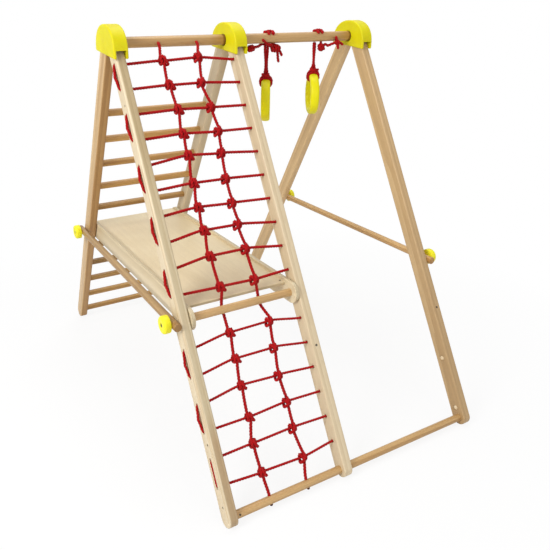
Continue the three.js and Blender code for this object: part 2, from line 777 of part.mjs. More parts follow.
// Bars that the upright ropes pass through.
function bars() {
  const length = 4 * TOP_BAR_RADIUS;
  const holes = [LEFT_UPRIGHT, RIGHT_UPRIGHT].map((upright) => {
    const drill = new THREE.CylinderGeometry(ROPE_HOLE, ROPE_HOLE, length, SMALL_SIDES);
    return drill.translate(netX(upright.top), 0, TOP_BAR_HEIGHT - NET_TOP_DROP);
  });
  piece(root, "left_top_bar", cut(barBlank(LEFT_X, MIDDLE_X), holes), WOOD_ROUND);
  piece(root, "right_top_bar", cut(barBlank(MIDDLE_X, RIGHT_X), hangerHoles()), WOOD_ROUND);

  const footHoles = [LEFT_UPRIGHT, RIGHT_UPRIGHT].map((upright) => {
    const drill = new THREE.CylinderGeometry(ROPE_HOLE, ROPE_HOLE, length, SMALL_SIDES);
    return drill.rotateX(Math.PI / 2).translate(netX(upright.foot), 0, -LEG_LENGTH);
  });
  const leftDowel = cut(crossBar(LEFT_X, MIDDLE_X, LEG_LENGTH), footHoles);
  piece(frontFrame, "left_bottom_dowel", leftDowel, WOOD_ROUND);
  const rightDowel = crossBar(MIDDLE_X, RIGHT_X, LEG_LENGTH);
  piece(frontFrame, "right_bottom_dowel", rightDowel, WOOD_ROUND);
}

// Platform, in the frame of its front bolts.
const LEFT_BOARD = LEFT_X + HALF_LEG + BOARD_GAP;
const RIGHT_BOARD = MIDDLE_X - HALF_LEG - BOARD_GAP - BOARD_THICKNESS;
const PLATFORM_SPAN = 2 * PLATFORM_REACH;

function sideBoard(from, innerSide) {
  const to = from + BOARD_THICKNESS;
  const outline = stadium(BOARD_HEIGHT / 2, 0, 0, PLATFORM_SPAN, 0);
  const face = innerSide > 0 ? to : from;
  const into = (depth) => [face - innerSide * depth, face + innerSide * BEYOND];
  const seat = into(DOWEL_SEAT).sort((a, b) => a - b);
  const groove = into(DECK_GROOVE).sort((a, b) => a - b);
  const low = DECK_TOP_RISE - DECK_THICKNESS - CLEARANCE;
  const high = DECK_TOP_RISE - DECK_THICKNESS + DECK_TONGUE + CLEARANCE;
  const front = DECK_FRONT_SETBACK - CLEARANCE;
  const rear = PLATFORM_SPAN + DECK_REAR_OVERHANG + CLEARANCE;
  const middle = (groove[0] + groove[1]) / 2;
  const tools = [0, PLATFORM_SPAN].flatMap((y) => [
    roundBar(ROUND_BAR_RADIUS + CLEARANCE, seat[0], seat[1], y, 0),
    roundBar(BOLT_HOLE, from - BEYOND, to + BEYOND, y, 0, 0, SMALL_SIDES),
  ]);
  const [midY, midZ] = [(front + rear) / 2, (low + high) / 2];
  tools.push(block(groove[1] - groove[0], rear - front, high - low, middle, midY, midZ));
  return cut(plate(outline, from, to, BOARD_EDGE, 6), tools);
}

function platformDowel(y) {
  const seat = DOWEL_SEAT - CLEARANCE;
  const from = LEFT_BOARD + BOARD_THICKNESS - seat;
  const to = RIGHT_BOARD + seat;
  const bore = BOLT_GRIP + 2;
  return cut(roundBar(ROUND_BAR_RADIUS, from, to, y, 0), [
    roundBar(BOLT_HOLE, from - BEYOND, from + bore, y, 0, 0, SMALL_SIDES),
    roundBar(BOLT_HOLE, to - bore, to + BEYOND, y, 0, 0, SMALL_SIDES),
  ]);
}

// The deck lies between the boards, with a thinner tongue along each side in their grooves.
function deck() {
  const seat = DECK_GROOVE - CLEARANCE;
  const from = LEFT_BOARD + BOARD_THICKNESS - seat;
  const to = RIGHT_BOARD + seat;
  const front = DECK_FRONT_SETBACK;
  const rear = PLATFORM_SPAN + DECK_REAR_OVERHANG;
  const low = DECK_TOP_RISE - DECK_THICKNESS;
  const high = DECK_TOP_RISE;
  const nose = DECK_NOSE;
  const outline = new THREE.Shape([
    new THREE.Vector2(front + nose, low),
    new THREE.Vector2(rear - nose, low),
    new THREE.Vector2(rear, low + nose),
    new THREE.Vector2(rear, high - nose),
    new THREE.Vector2(rear - nose, high),
    new THREE.Vector2(front + nose, high),
    new THREE.Vector2(front, high - nose),
    new THREE.Vector2(front, low + nose),
  ]);
  const rebate = DECK_THICKNESS - DECK_TONGUE;
  const middle = (front + rear) / 2;
  const length = rear - front + 2 * BEYOND;
  const width = DECK_GROOVE + BEYOND;
  const inset = DECK_GROOVE - width / 2;
  const rebates = [from + inset, to - inset].map((x) => {
    return block(width, length, 2 * rebate, x, middle, high);
  });
  return cut(plate(outline, from, to), rebates);
}

function platformPieces() {
  piece(platform, "platform_left_board", sideBoard(LEFT_BOARD, 1), WOOD_PLY);
  piece(platform, "platform_right_board", sideBoard(RIGHT_BOARD, -1), WOOD_PLY);
  piece(platform, "platform_front_dowel", platformDowel(0), WOOD_ROUND);
  piece(platform, "platform_rear_dowel", platformDowel(PLATFORM_SPAN), WOOD_ROUND);
  piece(platform, "platform_deck", deck(), WOOD_PLY);
}

// Stays, knobs and bolts on the two outer sides: side is -1 on the left and +1 on the right.
function outside(side, distance) {
  return (side < 0 ? LEFT_X : RIGHT_X) + side * (HALF_LEG + distance);
}

const STAY_CENTRE = STAY_GAP + ROUND_BAR_RADIUS;
const KNOB_FACE = STAY_GAP + ROUND_BAR_DIAMETER + CLEARANCE;

function stay(side) {
  const start = -STAY_OVERHANG;
  const end = PLATFORM_SPAN + STAY_OVERHANG;
  const x = outside(side, STAY_CENTRE);
  const bar = roundBar(ROUND_BAR_RADIUS, start, end, 0, 0, ROUND_BAR_EDGE);
  bar.rotateZ(Math.PI / 2).translate(x, 0, 0);
  const from = x - ROUND_BAR_RADIUS - BEYOND;
  const to = x + ROUND_BAR_RADIUS + BEYOND;
  const drop = new THREE.Vector2(-Math.sin(STAY_SLOT_LEAN), -Math.cos(STAY_SLOT_LEAN));
  drop.multiplyScalar(3 * ROUND_BAR_RADIUS);
  const slot = stadium(BOLT_HOLE, PLATFORM_SPAN, 0, PLATFORM_SPAN + drop.x, drop.y);
  return cut(bar, [
    roundBar(BOLT_HOLE, from, to, 0, 0, 0, SMALL_SIDES),
    plate(slot, from, to, 0, 4),
  ]);
}

function knobSolid(side, y) {
  const radius = KNOB_DIAMETER / 2;
  const profile = [[0, BOLT_HOLE]];
  profile.push([0, radius - KNOB_INNER_EDGE], [KNOB_INNER_EDGE, radius]);
  for (let i = 0; i <= 2; i += 1) {
    const turn = (Math.PI * i) / 4;
    const out = KNOB_THICKNESS - KNOB_EDGE * (1 - Math.sin(turn));
    profile.push([out, radius - KNOB_EDGE * (1 - Math.cos(turn))]);
  }
  profile.push([KNOB_THICKNESS, BOLT_HOLE], [0, BOLT_HOLE]);
  const placed = profile.map(([out, r]) => [outside(side, KNOB_FACE + out), r]);
  return turned(side > 0 ? placed : placed.reverse(), y, 0);
}

function boltSpan(side, innerEnd) {
  const outerEnd = outside(side, KNOB_FACE + KNOB_THICKNESS - KNOB_BOLT_RECESS);
  return [outerEnd, innerEnd].sort((a, b) => a - b);
}

function bolt(name, span, y) {
  const solid = roundBar(BOLT_RADIUS, span[0], span[1], y, 0, 0, SMALL_SIDES);
  piece(platform, name, solid, STEEL);
}

// A bolt with a head on the right face of the middle leg.
function headedBolt(name, tip, y) {
  const face = MIDDLE_X + HALF_LEG + CLEARANCE;
  const head = BOLT_HEAD_DIAMETER / 2;
  const profile = [
    [tip, 0],
    [tip, BOLT_RADIUS],
    [face, BOLT_RADIUS],
    [face, head],
    [face + BOLT_HEAD_HEIGHT - 2, head],
    [face + BOLT_HEAD_HEIGHT, head - 2],
    [face + BOLT_HEAD_HEIGHT, 0],
  ];
  piece(platform, name, turned(profile, y, 0, SMALL_SIDES), STEEL);
}

function outerFittings() {
  const dowelEnd = BOARD_GAP + BOARD_THICKNESS - DOWEL_SEAT;
  const leftInner = LEFT_X + HALF_LEG;
  const middleInner = MIDDLE_X - HALF_LEG;
  const rightTip = RIGHT_X - HALF_LEG + BEYOND + CLEARANCE;
  bolt("left_front_bolt", boltSpan(-1, leftInner + dowelEnd + BOLT_GRIP), 0);
  bolt("right_front_bolt", boltSpan(1, rightTip), 0);
  headedBolt("middle_front_bolt", middleInner - dowelEnd - BOLT_GRIP, 0);
  bolt("left_rear_bolt", boltSpan(-1, leftInner - CLEARANCE), PLATFORM_SPAN);
  bolt("right_rear_bolt", boltSpan(1, rightTip), PLATFORM_SPAN);
  headedBolt("middle_rear_bolt", middleInner + CLEARANCE, PLATFORM_SPAN);
  [
    ["left", -1],
    ["right", 1],
  ].forEach(([name, side]) => {
    piece(platform, `${name}_stay`, stay(side), WOOD_ROUND);
    piece(platform, `${name}_front_knob`, knobSolid(side, 0), PLASTIC);
    piece(platform, `${name}_rear_knob`, knobSolid(side, PLATFORM_SPAN), PLASTIC);
  });
}

// Rings: an oval section turned about a level axis, then swung about the vertical.
const RING_RADIUS = (RING_OUTER_DIAMETER - RING_DEPTH) / 2;

function ringSolid() {
  const points = [];
  for (let k = 0; k <= RING_SIDES; k += 1) {
    const angle = (2 * Math.PI * (k % RING_SIDES)) / RING_SIDES;
    const radius = RING_RADIUS + (RING_DEPTH / 2) * Math.cos(angle);
    points.push(new THREE.Vector2(radius, (RING_WIDTH / 2) * Math.sin(angle)));
  }
  return new THREE.LatheGeometry(points, RING_STEPS).rotateZ(-Math.PI / 2);
}

// A ring hangs from the bar above it by one rope: a hanger that stays with the bar, and two
// strands below it that swing with the ring. The bar's middle above the ring is the origin.
const SWING_DROP = TOP_BAR_RADIUS + ROPE_RADIUS;

function at(x, y, z) {
  return new THREE.Vector3(x, y, z);
}

// The loop round the ring's rim, with a narrow neck at its top.
function loopPoints(turn, centreDrop) {
  const points = [];
  const neck = STRAND_SPACING / 2 + ROPE_DIAMETER * 2;
  const reach = RING_LOOP_RADIUS + ROPE_DIAMETER * 2;
  const lift = Math.sqrt(reach ** 2 - neck ** 2);
  const meeting = Math.atan2(lift, neck);
  const across = at(Math.cos(turn), -Math.sin(turn), 0);
  const add = (out, up) => {
    const point = across.clone().multiplyScalar(out);
    points.push(point.setZ(up - centreDrop));
  };
  const bend = 4;
  const neckArc = (side) => {
    const list = [];
    for (let i = 0; i <= bend; i += 1) {
      const angle = Math.PI + (meeting * i) / bend;
      const out = neck + 2 * ROPE_DIAMETER * Math.cos(angle);
      list.push([side * out, lift + 2 * ROPE_DIAMETER * Math.sin(angle)]);
    }
    return list;
  };
  neckArc(1).forEach(([out, up]) => add(out, up));
  const sweepAngle = Math.PI + 2 * meeting;
  const steps = Math.round((TURN_STEPS * sweepAngle) / (2 * Math.PI));
  for (let i = 1; i < steps; i += 1) {
    const angle = meeting - (sweepAngle * i) / steps;
    add(RING_LOOP_RADIUS * Math.cos(angle), RING_LOOP_RADIUS * Math.sin(angle));
  }
  neckArc(-1)
    .reverse()
    .forEach(([out, up]) => add(out, up));
  return points;
}

// A strand from under the bar to the neck of the loop. Its top is round, so that it can swing.
function strand(x, to) {
  const top = ROPE_RADIUS - CLEARANCE;
  const slope = top / Math.SQRT2;
  const path = [
    { centre: at(x, 0, top - SWING_DROP), radius: ROPE_RADIUS / 5 },
    { centre: at(x, 0, slope - SWING_DROP), radius: slope },
    { centre: at(x, 0, -SWING_DROP), radius: ROPE_RADIUS },
  ];
  const steps = 5;
  for (let i = 1; i < steps; i += 1) {
    const share = i / steps;
    const ease = share * share * (3 - 2 * share);
    const z = -SWING_DROP + (to.z + SWING_DROP) * share;
    path.push({ centre: at(x + (to.x - x) * ease, to.y * ease, z), radius: ROPE_RADIUS });
  }
  return path;
}

function strandsPath(ring) {
  const loop = loopPoints(ring.turn, ring.loopDrop);
  const half = ring.spread / 2;
  const down = strand(half, loop[0]);
  const up = strand(-half, loop[loop.length - 1]).reverse();
  return [...down, ...plainRope(loop), ...up];
}

// A knot of a given thickness.
function fatKnot(centre, direction, thickness, length) {
  const along = direction.clone().normalize();
  const stop = (share, radius) => ({
    centre: centre.clone().addScaledVector(along, share * length),
    radius,
  });
  const thick = thickness / 2;
  return [stop(-0.5, ROPE_RADIUS), stop(-0.25, thick), stop(0.25, thick), stop(0.5, ROPE_RADIUS)];
}

// Up one hole of the bar, over the top with a knot there, and down the other hole.
function overBar(ring) {
  const first = -ring.spread / 2;
  const second = first + HANGER_SPAN;
  const middle = (first + second) / 2;
  const bend = ROPE_RADIUS + 1;
  const rim = TOP_BAR_RADIUS + CLEARANCE;
  const slant = bend * (1 - Math.SQRT1_2);
  const shoulder = rim + bend * Math.SQRT1_2;
  const crest = at(middle, 0, rim + TOP_KNOT_THICKNESS / 2);
  return [
    ...plainRope([at(first, 0, CLEARANCE - TOP_BAR_RADIUS), at(first, 0, rim)]),
    ...plainRope([at(first + slant, 0, shoulder)]),
    ...fatKnot(crest, at(1, 0, 0), TOP_KNOT_THICKNESS, KNOT_LENGTH),
    ...plainRope([at(second - slant, 0, shoulder), at(second, 0, rim)]),
    ...plainRope([at(second, 0, -TOP_BAR_RADIUS)]),
  ];
}

// The middle of the knot under the second hole.
function underKnot(ring, lean, length) {
  const under = at(HANGER_SPAN - ring.spread / 2, 0, -SWING_DROP);
  return under.addScaledVector(lean, length / 2 + CLEARANCE);
}

const TIE_INSIDE = TOP_BAR_RADIUS - TIE_HOLE_DEPTH + CLEARANCE;

// The left hanger: a knot under the second hole with two tails, and a tie behind the strands
// to a smaller knot beside the cap, whose end goes up into the bar.
const LEFT_KNOT_LEAN = at(0.66, -0.16, -0.73).normalize();
const LEFT_TIE_KNOT = at(-65, 0, -27.5);
const LEFT_TIE_HOLE_X = -81;

function leftHanger(ring) {
  const knot = underKnot(ring, LEFT_KNOT_LEAN, LEFT_KNOT_LENGTH);
  const main = [
    ...overBar(ring),
    ...fatKnot(knot, LEFT_KNOT_LEAN, LEFT_KNOT_THICKNESS, LEFT_KNOT_LENGTH),
    ...plainRope([at(55, -7, -54), at(60, -7, -62)]),
  ];
  const tail = plainRope([knot, at(40, -4, -56), at(46, -6, -76)]);
  const behind = 12;
  const tie = [
    ...plainRope([knot, at(22, 7, -26), at(12, behind, -18.3), at(-12, behind, -18.3)]),
    ...plainRope([at(-28, 5, -24), at(-42, 1, -26)]),
    ...fatKnot(LEFT_TIE_KNOT, at(-1, 0, 0), TIE_KNOT_THICKNESS, KNOT_LENGTH),
    ...plainRope([at(-80, 0, -24), at(LEFT_TIE_HOLE_X, 0, -SWING_DROP)]),
    ...plainRope([at(LEFT_TIE_HOLE_X, 0, -TIE_INSIDE)]),
  ];
  return [main, tail, tie];
}

// The right hanger: a ball of a knot under the second hole, and a tie along the bar to a
// knot in front of it with short ends, one of which goes into the bar.
const RIGHT_KNOT_LEAN = at(-0.05, -0.26, -0.96).normalize();
const RIGHT_TIE_KNOT = at(80, -25, -19);
const RIGHT_TIE_HOLE_Z = -8;

function rightHanger(ring) {
  const knot = underKnot(ring, RIGHT_KNOT_LEAN, RIGHT_KNOT_LENGTH);
  const main = [
    ...overBar(ring),
    ...fatKnot(knot, RIGHT_KNOT_LEAN, RIGHT_KNOT_THICKNESS, RIGHT_KNOT_LENGTH),
  ];
  const tie = [
    ...plainRope([knot, at(40, -9, -27), at(48, -11, -28.5), at(58, -17, -24)]),
    ...fatKnot(RIGHT_TIE_KNOT, at(1, -0.2, 0), TIE_KNOT_THICKNESS, KNOT_LENGTH),
    ...plainRope([at(99, -28, -26), at(104, -28, -34)]),
  ];
  const ends = plainRope([at(70, -28, 2), at(75, -27, -7), RIGHT_TIE_KNOT, at(85, -28, -44)]);
  const x = RIGHT_TIE_KNOT.x;
  const seat = plainRope([
    RIGHT_TIE_KNOT,
    at(x, 1 - SWING_DROP, RIGHT_TIE_HOLE_Z - 1),
    at(x, -TOP_BAR_RADIUS, RIGHT_TIE_HOLE_Z),
    at(x, -TIE_INSIDE, RIGHT_TIE_HOLE_Z),
  ]);
  return [main, tie, ends, seat];
}

const rings = [
  {
    name: "ring_left",
    x: MIDDLE_X + LEFT_RING_X,
    height: LEFT_RING_HEIGHT,
    turn: LEFT_RING_TURN,
    spread: LEFT_STRAND_SPREAD,
    hanger: leftHanger,
  },
  {
    name: "ring_right",
    x: MIDDLE_X + RIGHT_RING_X,
    height: RIGHT_RING_HEIGHT,
    turn: RIGHT_RING_TURN,
    spread: RIGHT_STRAND_SPREAD,
    hanger: rightHanger,
  },
];

function leastSelfGap(path) {
  const route = new THREE.CurvePath();
  path.slice(1).forEach((point, i) => route.add(new THREE.LineCurve3(path[i], point)));
  const length = route.getLength();
  const samples = route.getSpacedPoints(Math.round(length / 2));
  const skip = Math.round((2 * Math.PI * ROPE_DIAMETER) / 2);
  let least = Infinity;
  samples.forEach((point, i) => {
    for (let j = i + skip; j < samples.length; j += 1) {
      least = Math.min(least, point.distanceTo(samples[j]));
    }
  });
  return { gap: least - ROPE_DIAMETER, length };
}

function ropeReport(name, path) {
  const { gap, length } = leastSelfGap(path.map((stop) => stop.centre));
  console.log(`${name}: ${length.toFixed(0)} mm long, least gap to itself ${gap.toFixed(2)} mm`);
}

function ringSet(ring) {
  const seatDrop = RING_LOOP_RADIUS - ROPE_RADIUS - RING_DEPTH / 2 - CLEARANCE;
  ring.loopDrop = TOP_BAR_HEIGHT - (ring.height + RING_RADIUS + seatDrop);
  const strands = strandsPath(ring);
  ropeReport(`${ring.name} strands`, strands);
  const ropeMesh = piece(root, `${ring.name}_rope`, ropeTube(strands), ROPE);
  ropeMesh.position.set(ring.x, 0, TOP_BAR_HEIGHT);
  const hanger = ring.hanger(ring);
  ropeReport(`${ring.name} hanger`, hanger[0]);
  const hangerSolid = join(...hanger.map((path) => ropeTube(path)));
  const hangerMesh = piece(root, `${ring.name}_hanger`, hangerSolid, ROPE);
  hangerMesh.position.set(ring.x, 0, TOP_BAR_HEIGHT);
  const ringMesh = piece(root, ring.name, ringSolid(), PLASTIC);
  ringMesh.position.set(ring.x, 0, ring.height);
  ringMesh.rotation.z = -ring.turn;
}

// Holes for the hangers in the right top bar.
function hangerHoles() {
  const length = 4 * TOP_BAR_RADIUS;
  const uprightHole = (x) => {
    const drill = new THREE.CylinderGeometry(ROPE_HOLE, ROPE_HOLE, length, SMALL_SIDES);
    return drill.rotateX(Math.PI / 2).translate(x, 0, TOP_BAR_HEIGHT);
  };
  const blind = (turnX) => {
    const drill = new THREE.CylinderGeometry(ROPE_HOLE, ROPE_HOLE, TOP_BAR_DIAMETER, SMALL_SIDES);
    return drill.rotateX(turnX);
  };
  const away = TOP_BAR_DIAMETER - TIE_HOLE_DEPTH;
  const through = rings.flatMap(({ x, spread }) => {
    return [uprightHole(x - spread / 2), uprightHole(x - spread / 2 + HANGER_SPAN)];
  });
  const [left, right] = rings;
  const below = blind(Math.PI / 2).translate(left.x + LEFT_TIE_HOLE_X, 0, TOP_BAR_HEIGHT - away);
  const rightHoleZ = TOP_BAR_HEIGHT + RIGHT_TIE_HOLE_Z;
  const front = blind(0).translate(right.x + RIGHT_TIE_KNOT.x, -away, rightHoleZ);
  return [...through, below, front];
}

frontLegs();
plug("right_leg_upper_plug", UPPER_PLUG);
plug("right_leg_lower_plug", LOWER_PLUG);
rearLegs();
rungs();
caps();
bars();
climbingNet();
platformPieces();
outerFittings();
rings.forEach(ringSet);

export default root;
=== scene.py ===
"""A child's folding climbing set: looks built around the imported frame. Metres, +Z up."""

import random
from math import atan2, copysign, cos, hypot, pi, radians, sin, sqrt

import bmesh
import bpy
import numpy as np
from mathutils import Matrix, Vector


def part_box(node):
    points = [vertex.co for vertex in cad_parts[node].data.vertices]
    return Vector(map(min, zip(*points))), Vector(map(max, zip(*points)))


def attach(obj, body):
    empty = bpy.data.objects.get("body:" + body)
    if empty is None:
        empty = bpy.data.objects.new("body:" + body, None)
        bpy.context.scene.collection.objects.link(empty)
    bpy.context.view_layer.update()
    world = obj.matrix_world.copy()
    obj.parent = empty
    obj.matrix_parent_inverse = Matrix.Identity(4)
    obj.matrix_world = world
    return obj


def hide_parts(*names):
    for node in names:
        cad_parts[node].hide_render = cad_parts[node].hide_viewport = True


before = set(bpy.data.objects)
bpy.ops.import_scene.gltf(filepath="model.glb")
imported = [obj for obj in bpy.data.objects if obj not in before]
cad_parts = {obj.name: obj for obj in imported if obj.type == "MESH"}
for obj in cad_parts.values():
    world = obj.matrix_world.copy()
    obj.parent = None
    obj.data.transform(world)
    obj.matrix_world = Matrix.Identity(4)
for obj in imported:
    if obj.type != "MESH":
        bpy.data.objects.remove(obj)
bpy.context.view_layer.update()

# Sizes in millimetres. Most are the frame's own; rope radii, leg edges and ring widths follow the photo.
MM = 0.001
LEFT_X, MIDDLE_X, RIGHT_X = -447, -56, 447
HALF_LEG, LEG_RADIUS, LEG_EDGE, LEG_LENGTH = 15, 25, 4.5, 1349.24
LEG_ANGLE = radians(29.57)
PIN_HEIGHT, PIN_REACH = 1197.5, 31.9
TOP_BAR_RADIUS, TOP_BAR_HEIGHT = 16, 1210
BAR_RADIUS = 12
LEG_SOCKET, BOARD_SOCKET, CAP_SOCKET = 11.7, 7.7, 4.7
PLATFORM_HEIGHT = 501
PLATFORM_DROP = (PIN_HEIGHT - PLATFORM_HEIGHT) / cos(LEG_ANGLE)
PLATFORM_REACH = PIN_REACH + PLATFORM_DROP * sin(LEG_ANGLE)
PLATFORM_SPAN = 2 * PLATFORM_REACH
BOARD_RADIUS, BOARD_THICKNESS, BOARD_GAP = 34, 12, 2
DECK_FRONT, DECK_REAR, DECK_BOTTOM, DECK_TOP, DECK_EDGE = 29, PLATFORM_SPAN + 28, 13.5, 23.5, 2.6
ROPE_RADIUS, ROPE_HOLE = 4, 5.5
NET_ROPE, LOWER_ROPE, UPRIGHT_ROPE, RING_ROPE = 4.5, 3.9, 4.8, 4.75
ROPE_LAY, ROPE_SIDES = 27, 18
ROWS, FIRST_ROW, ROW_PITCH, ROW_CLEARANCE = 17, 49.5, 75.86, 37
FIRST_RUNG, RUNG_PITCH = 240, 109.5
CAP_HALF_WIDTH, CAP_HALF_DEPTH, CAP_WALL, CAP_CAVITY = 22, 83, 5, 15.3
CAP_SPRING, CAP_TOP, CAP_SKIRT, CAP_MOUTH = 1190, 1263, 1170, 1193
BOLT_RADIUS, STAY_GAP = 4, 0.5
KNOB_RADIUS, KNOB_THICKNESS, KNOB_ROUND = 26, 22, 7
PLUG_DROPS = 1146, 1316
INSERT_DROPS, INSERT_BACK = (175.6, *PLUG_DROPS), 6
RING_RADIUS, RING_HALF_WIDTH, RING_HALF_DEPTH = 59, 15.1, 11
LEFT_RING, RIGHT_RING, RIGHT_HANGER_X = (86, 1010.5), (282, 1019), 284
SWING_DROP = TOP_BAR_RADIUS + ROPE_RADIUS
HANGER_SPAN, STRAND_SPACING, LOOP_RADIUS = 31, 7.8, 19

WORLD = Matrix.Identity(4)
FRONT = Matrix.Translation((0, -PIN_REACH, PIN_HEIGHT)) @ Matrix.Rotation(-LEG_ANGLE, 4, "X")
REAR = Matrix.Translation((0, PIN_REACH, PIN_HEIGHT)) @ Matrix.Rotation(LEG_ANGLE, 4, "X")
PLATFORM = Matrix.Translation((0, -PLATFORM_REACH, PLATFORM_HEIGHT))
scene = bpy.context.scene


def add_object(name, data):
    thing = bpy.data.objects.new(name, data)
    scene.collection.objects.link(thing)
    return thing


# Camera, as the photograph was taken.
def make_camera():
    yaw, pitch, roll = radians(29.01), radians(22.11), radians(-0.279)
    ahead = Vector((sin(yaw) * cos(pitch), cos(yaw) * cos(pitch), -sin(pitch)))
    level = Vector((cos(yaw), -sin(yaw), 0))
    above = level.cross(ahead)
    right = cos(roll) * level + sin(roll) * above
    up = -sin(roll) * level + cos(roll) * above
    data = bpy.data.cameras.new("camera")
    data.sensor_width, data.lens = 36, 39.318
    data.shift_x, data.shift_y = 0.0791, -0.0391
    data.clip_start, data.clip_end = 0.05, 60
    camera = add_object("camera", data)
    turn = Matrix((right, up, -ahead)).transposed().to_4x4()
    camera.matrix_world = Matrix.Translation((-1.0403, -1.7849, 1.2996)) @ turn
    scene.camera = camera


make_camera()


# Materials.
def linear(red, green, blue):
    def one(value):
        share = value / 255
        return share / 12.92 if share <= 0.04045 else ((share + 0.055) / 1.055) ** 2.4

    return one(red), one(green), one(blue), 1


def toned(color, tone):
    return tuple(min(1.0, tone * value) for value in color[:3]) + (1,)


def shaded(colors, tone):
    return tuple(toned(color, tone) for color in colors)


class Nodes:
    """The node tree of a material or a world, built a node at a time."""

    def __init__(self, owner):
        owner.use_nodes = True
        self.tree = owner.node_tree
        self.tree.nodes.clear()

    def add(self, kind, *inputs, **options):
        """A node. Inputs go in order, options with a capital name sockets, and the others name settings."""
        node = self.tree.nodes.new("ShaderNode" + kind)
        for key, value in options.items():
            if key[0].islower():
                setattr(node, key, value)
            else:
                self.feed(node.inputs[key.replace("_", " ")], value)
        for socket, value in zip(node.inputs, inputs, strict=False):
            self.feed(socket, value)
        return node

    def feed(self, socket, value):
        """Links a node or an output to the socket, or gives it a value."""
        if isinstance(value, bpy.types.Node):
            value = value.outputs[0]
        if isinstance(value, bpy.types.NodeSocket):
            self.tree.links.new(value, socket)
        else:
            socket.default_value = value

    def math(self, operation, first, second=0.0):
        return self.add("Math", first, second, operation=operation)

    def plus(self, first, second):
        return self.math("ADD", first, second)

    def times(self, first, second):
        return self.math("MULTIPLY", first, second)

    def span(self, value, low, high, to_low=0, to_high=1):
        return self.add("MapRange", value, low, high, to_low, to_high)


class Shader(Nodes):
    """A material with one principled surface."""

    def __init__(self, name):
        self.material = bpy.data.materials.new(name)
        super().__init__(self.material)
        self.surface = self.add("BsdfPrincipled")
        self.add("OutputMaterial", self.surface)

    def place(self, turn=(0, 0, 0), scale=(1, 1, 1), offset=(0, 0, 0)):
        """Object coordinates, turned, moved and scaled."""
        where = self.add("TexCoord").outputs["Object"]
        turned = self.add("Mapping", where, vector_type="TEXTURE", Rotation=turn, Location=offset)
        return self.add("Mapping", turned, Scale=scale)

    def parts(self, source="TexCoord", output="Object"):
        """A vector's parts along the three axes."""
        return self.add("SeparateXYZ", self.add(source).outputs[output]).outputs

    def noise(self, vector, scale, detail=3, roughness=0.5, distortion=0.0):
        return self.add("TexNoise", vector, Scale=scale, Detail=detail, Roughness=roughness, Distortion=distortion)

    def ramp(self, value, *stops):
        node = self.add("ValToRGB", value)
        elements = node.color_ramp.elements
        while len(elements) < len(stops):
            elements.new(0.5)
        for element, (at, color) in zip(elements, stops, strict=True):
            element.position = at
            element.color = color
        return node

    def mix(self, factor, first, second, blend="MIX"):
        node = self.add("Mix", data_type="RGBA", blend_type=blend)
        for index, value in ((0, factor), (6, first), (7, second)):
            self.feed(node.inputs[index], value)
        return node.outputs[2]

    def set(self, **values):
        for key, value in values.items():
            self.feed(self.surface.inputs[key.replace("_", " ")], value)

    def bump(self, height, distance, strength=1.0):
        self.set(Normal=self.add("Bump", Strength=strength, Distance=distance, Height=height))


def wood(name, colors, turn, seed, streak=0.5, layers=None, peeled=False, painted_shades=()):
    """Varnished wood with its grain along local Z of the turned coordinates.

    Layers are a plywood's: the axis across them and their pitch. Painted shades are darker parts where shade is
    painted in: a tint, an axis, the distances from the middle along it between which the tint comes in, and the
    heights between which it does.
    """
    s = Shader(name)
    pale, deep = colors
    offset = (seed * 0.37, seed * 0.53, seed * 0.71)
    across = s.place(turn, (1, 1, 0.055), offset)
    lines = s.noise(across, 120, 4, 0.6, 0.25)
    fine = s.noise(across, 620, 2, 0.6)
    figure = s.add(
        "TexWave", s.place(turn, (1, 0.6, 0.035), offset), wave_type="RINGS", rings_direction="Z",
        wave_profile="SAW", Scale=17, Distortion=5, Detail=3, Detail_Scale=1.3,
    )
    if peeled:
        broad = s.noise(s.place(turn, (1, 1, 0.45), offset), 7, 3, 0.5, 1.2)
        of_broad, of_lines, of_figure = 0.62, 0.3, 0.08
    else:
        broad = s.noise(across, 9, 3, 0.5, 0.4)
        of_broad, of_lines, of_figure = 0.36, 0.40, 0.24
    tone = s.plus(s.times(broad, of_broad), s.times(lines, of_lines))
    tone = s.plus(tone, s.times(figure.outputs["Fac"], of_figure))
    tone = s.span(tone, 0.5 - 0.13 / streak, 0.5 + 0.13 / streak)
    middle = tuple((a + b) / 2 for a, b in zip(pale, deep, strict=True))
    color = s.ramp(tone, (0.0, deep), (0.55, middle), (1.0, pale))
    pores = s.span(s.noise(s.place(turn, (1, 1, 0.03), offset), 1500, 1, 0.5), 0.28, 0.42)
    color = s.mix(s.times(s.math("SUBTRACT", 1.0, pores), 0.35), color, toned(deep, 0.62))
    # Painted shade: each tint darkens the wood between its distances from the middle and its heights.
    if painted_shades:
        where = s.parts()
        wander = s.times(s.math("SUBTRACT", broad, 0.5), 0.03)
    for tint, axis, *places in painted_shades:
        start, end, high, low = (MM * value for value in places)
        share = s.span(s.plus(s.math("ABSOLUTE", where[axis]), wander), start, end)
        share = s.times(share, s.span(where[2], low, high, 1, 0))
        color = s.mix(share, color, tint, "MULTIPLY")
    if layers:
        axis, pitch = layers
        wave = s.math("SINE", s.times(s.parts()[axis], 2 * pi / (pitch * MM)))
        facing = s.math("ABSOLUTE", s.parts("NewGeometry", "True Normal")[axis])
        share = s.times(s.span(wave, -0.4, 0.4, 0, 0.75), s.math("LESS_THAN", facing, 0.5))
        color = s.mix(share, color, toned(deep, 0.55))
    s.set(Base_Color=color, Roughness=s.span(lines, 0.3, 0.7, 0.38, 0.56), Specular_IOR_Level=0.45)
    s.set(Coat_Weight=0.18, Coat_Roughness=0.28)
    height = s.plus(s.times(fine, 0.4), s.times(lines, 0.6))
    s.bump(s.plus(height, s.times(pores, 0.5)), 0.00012)
    return s.material


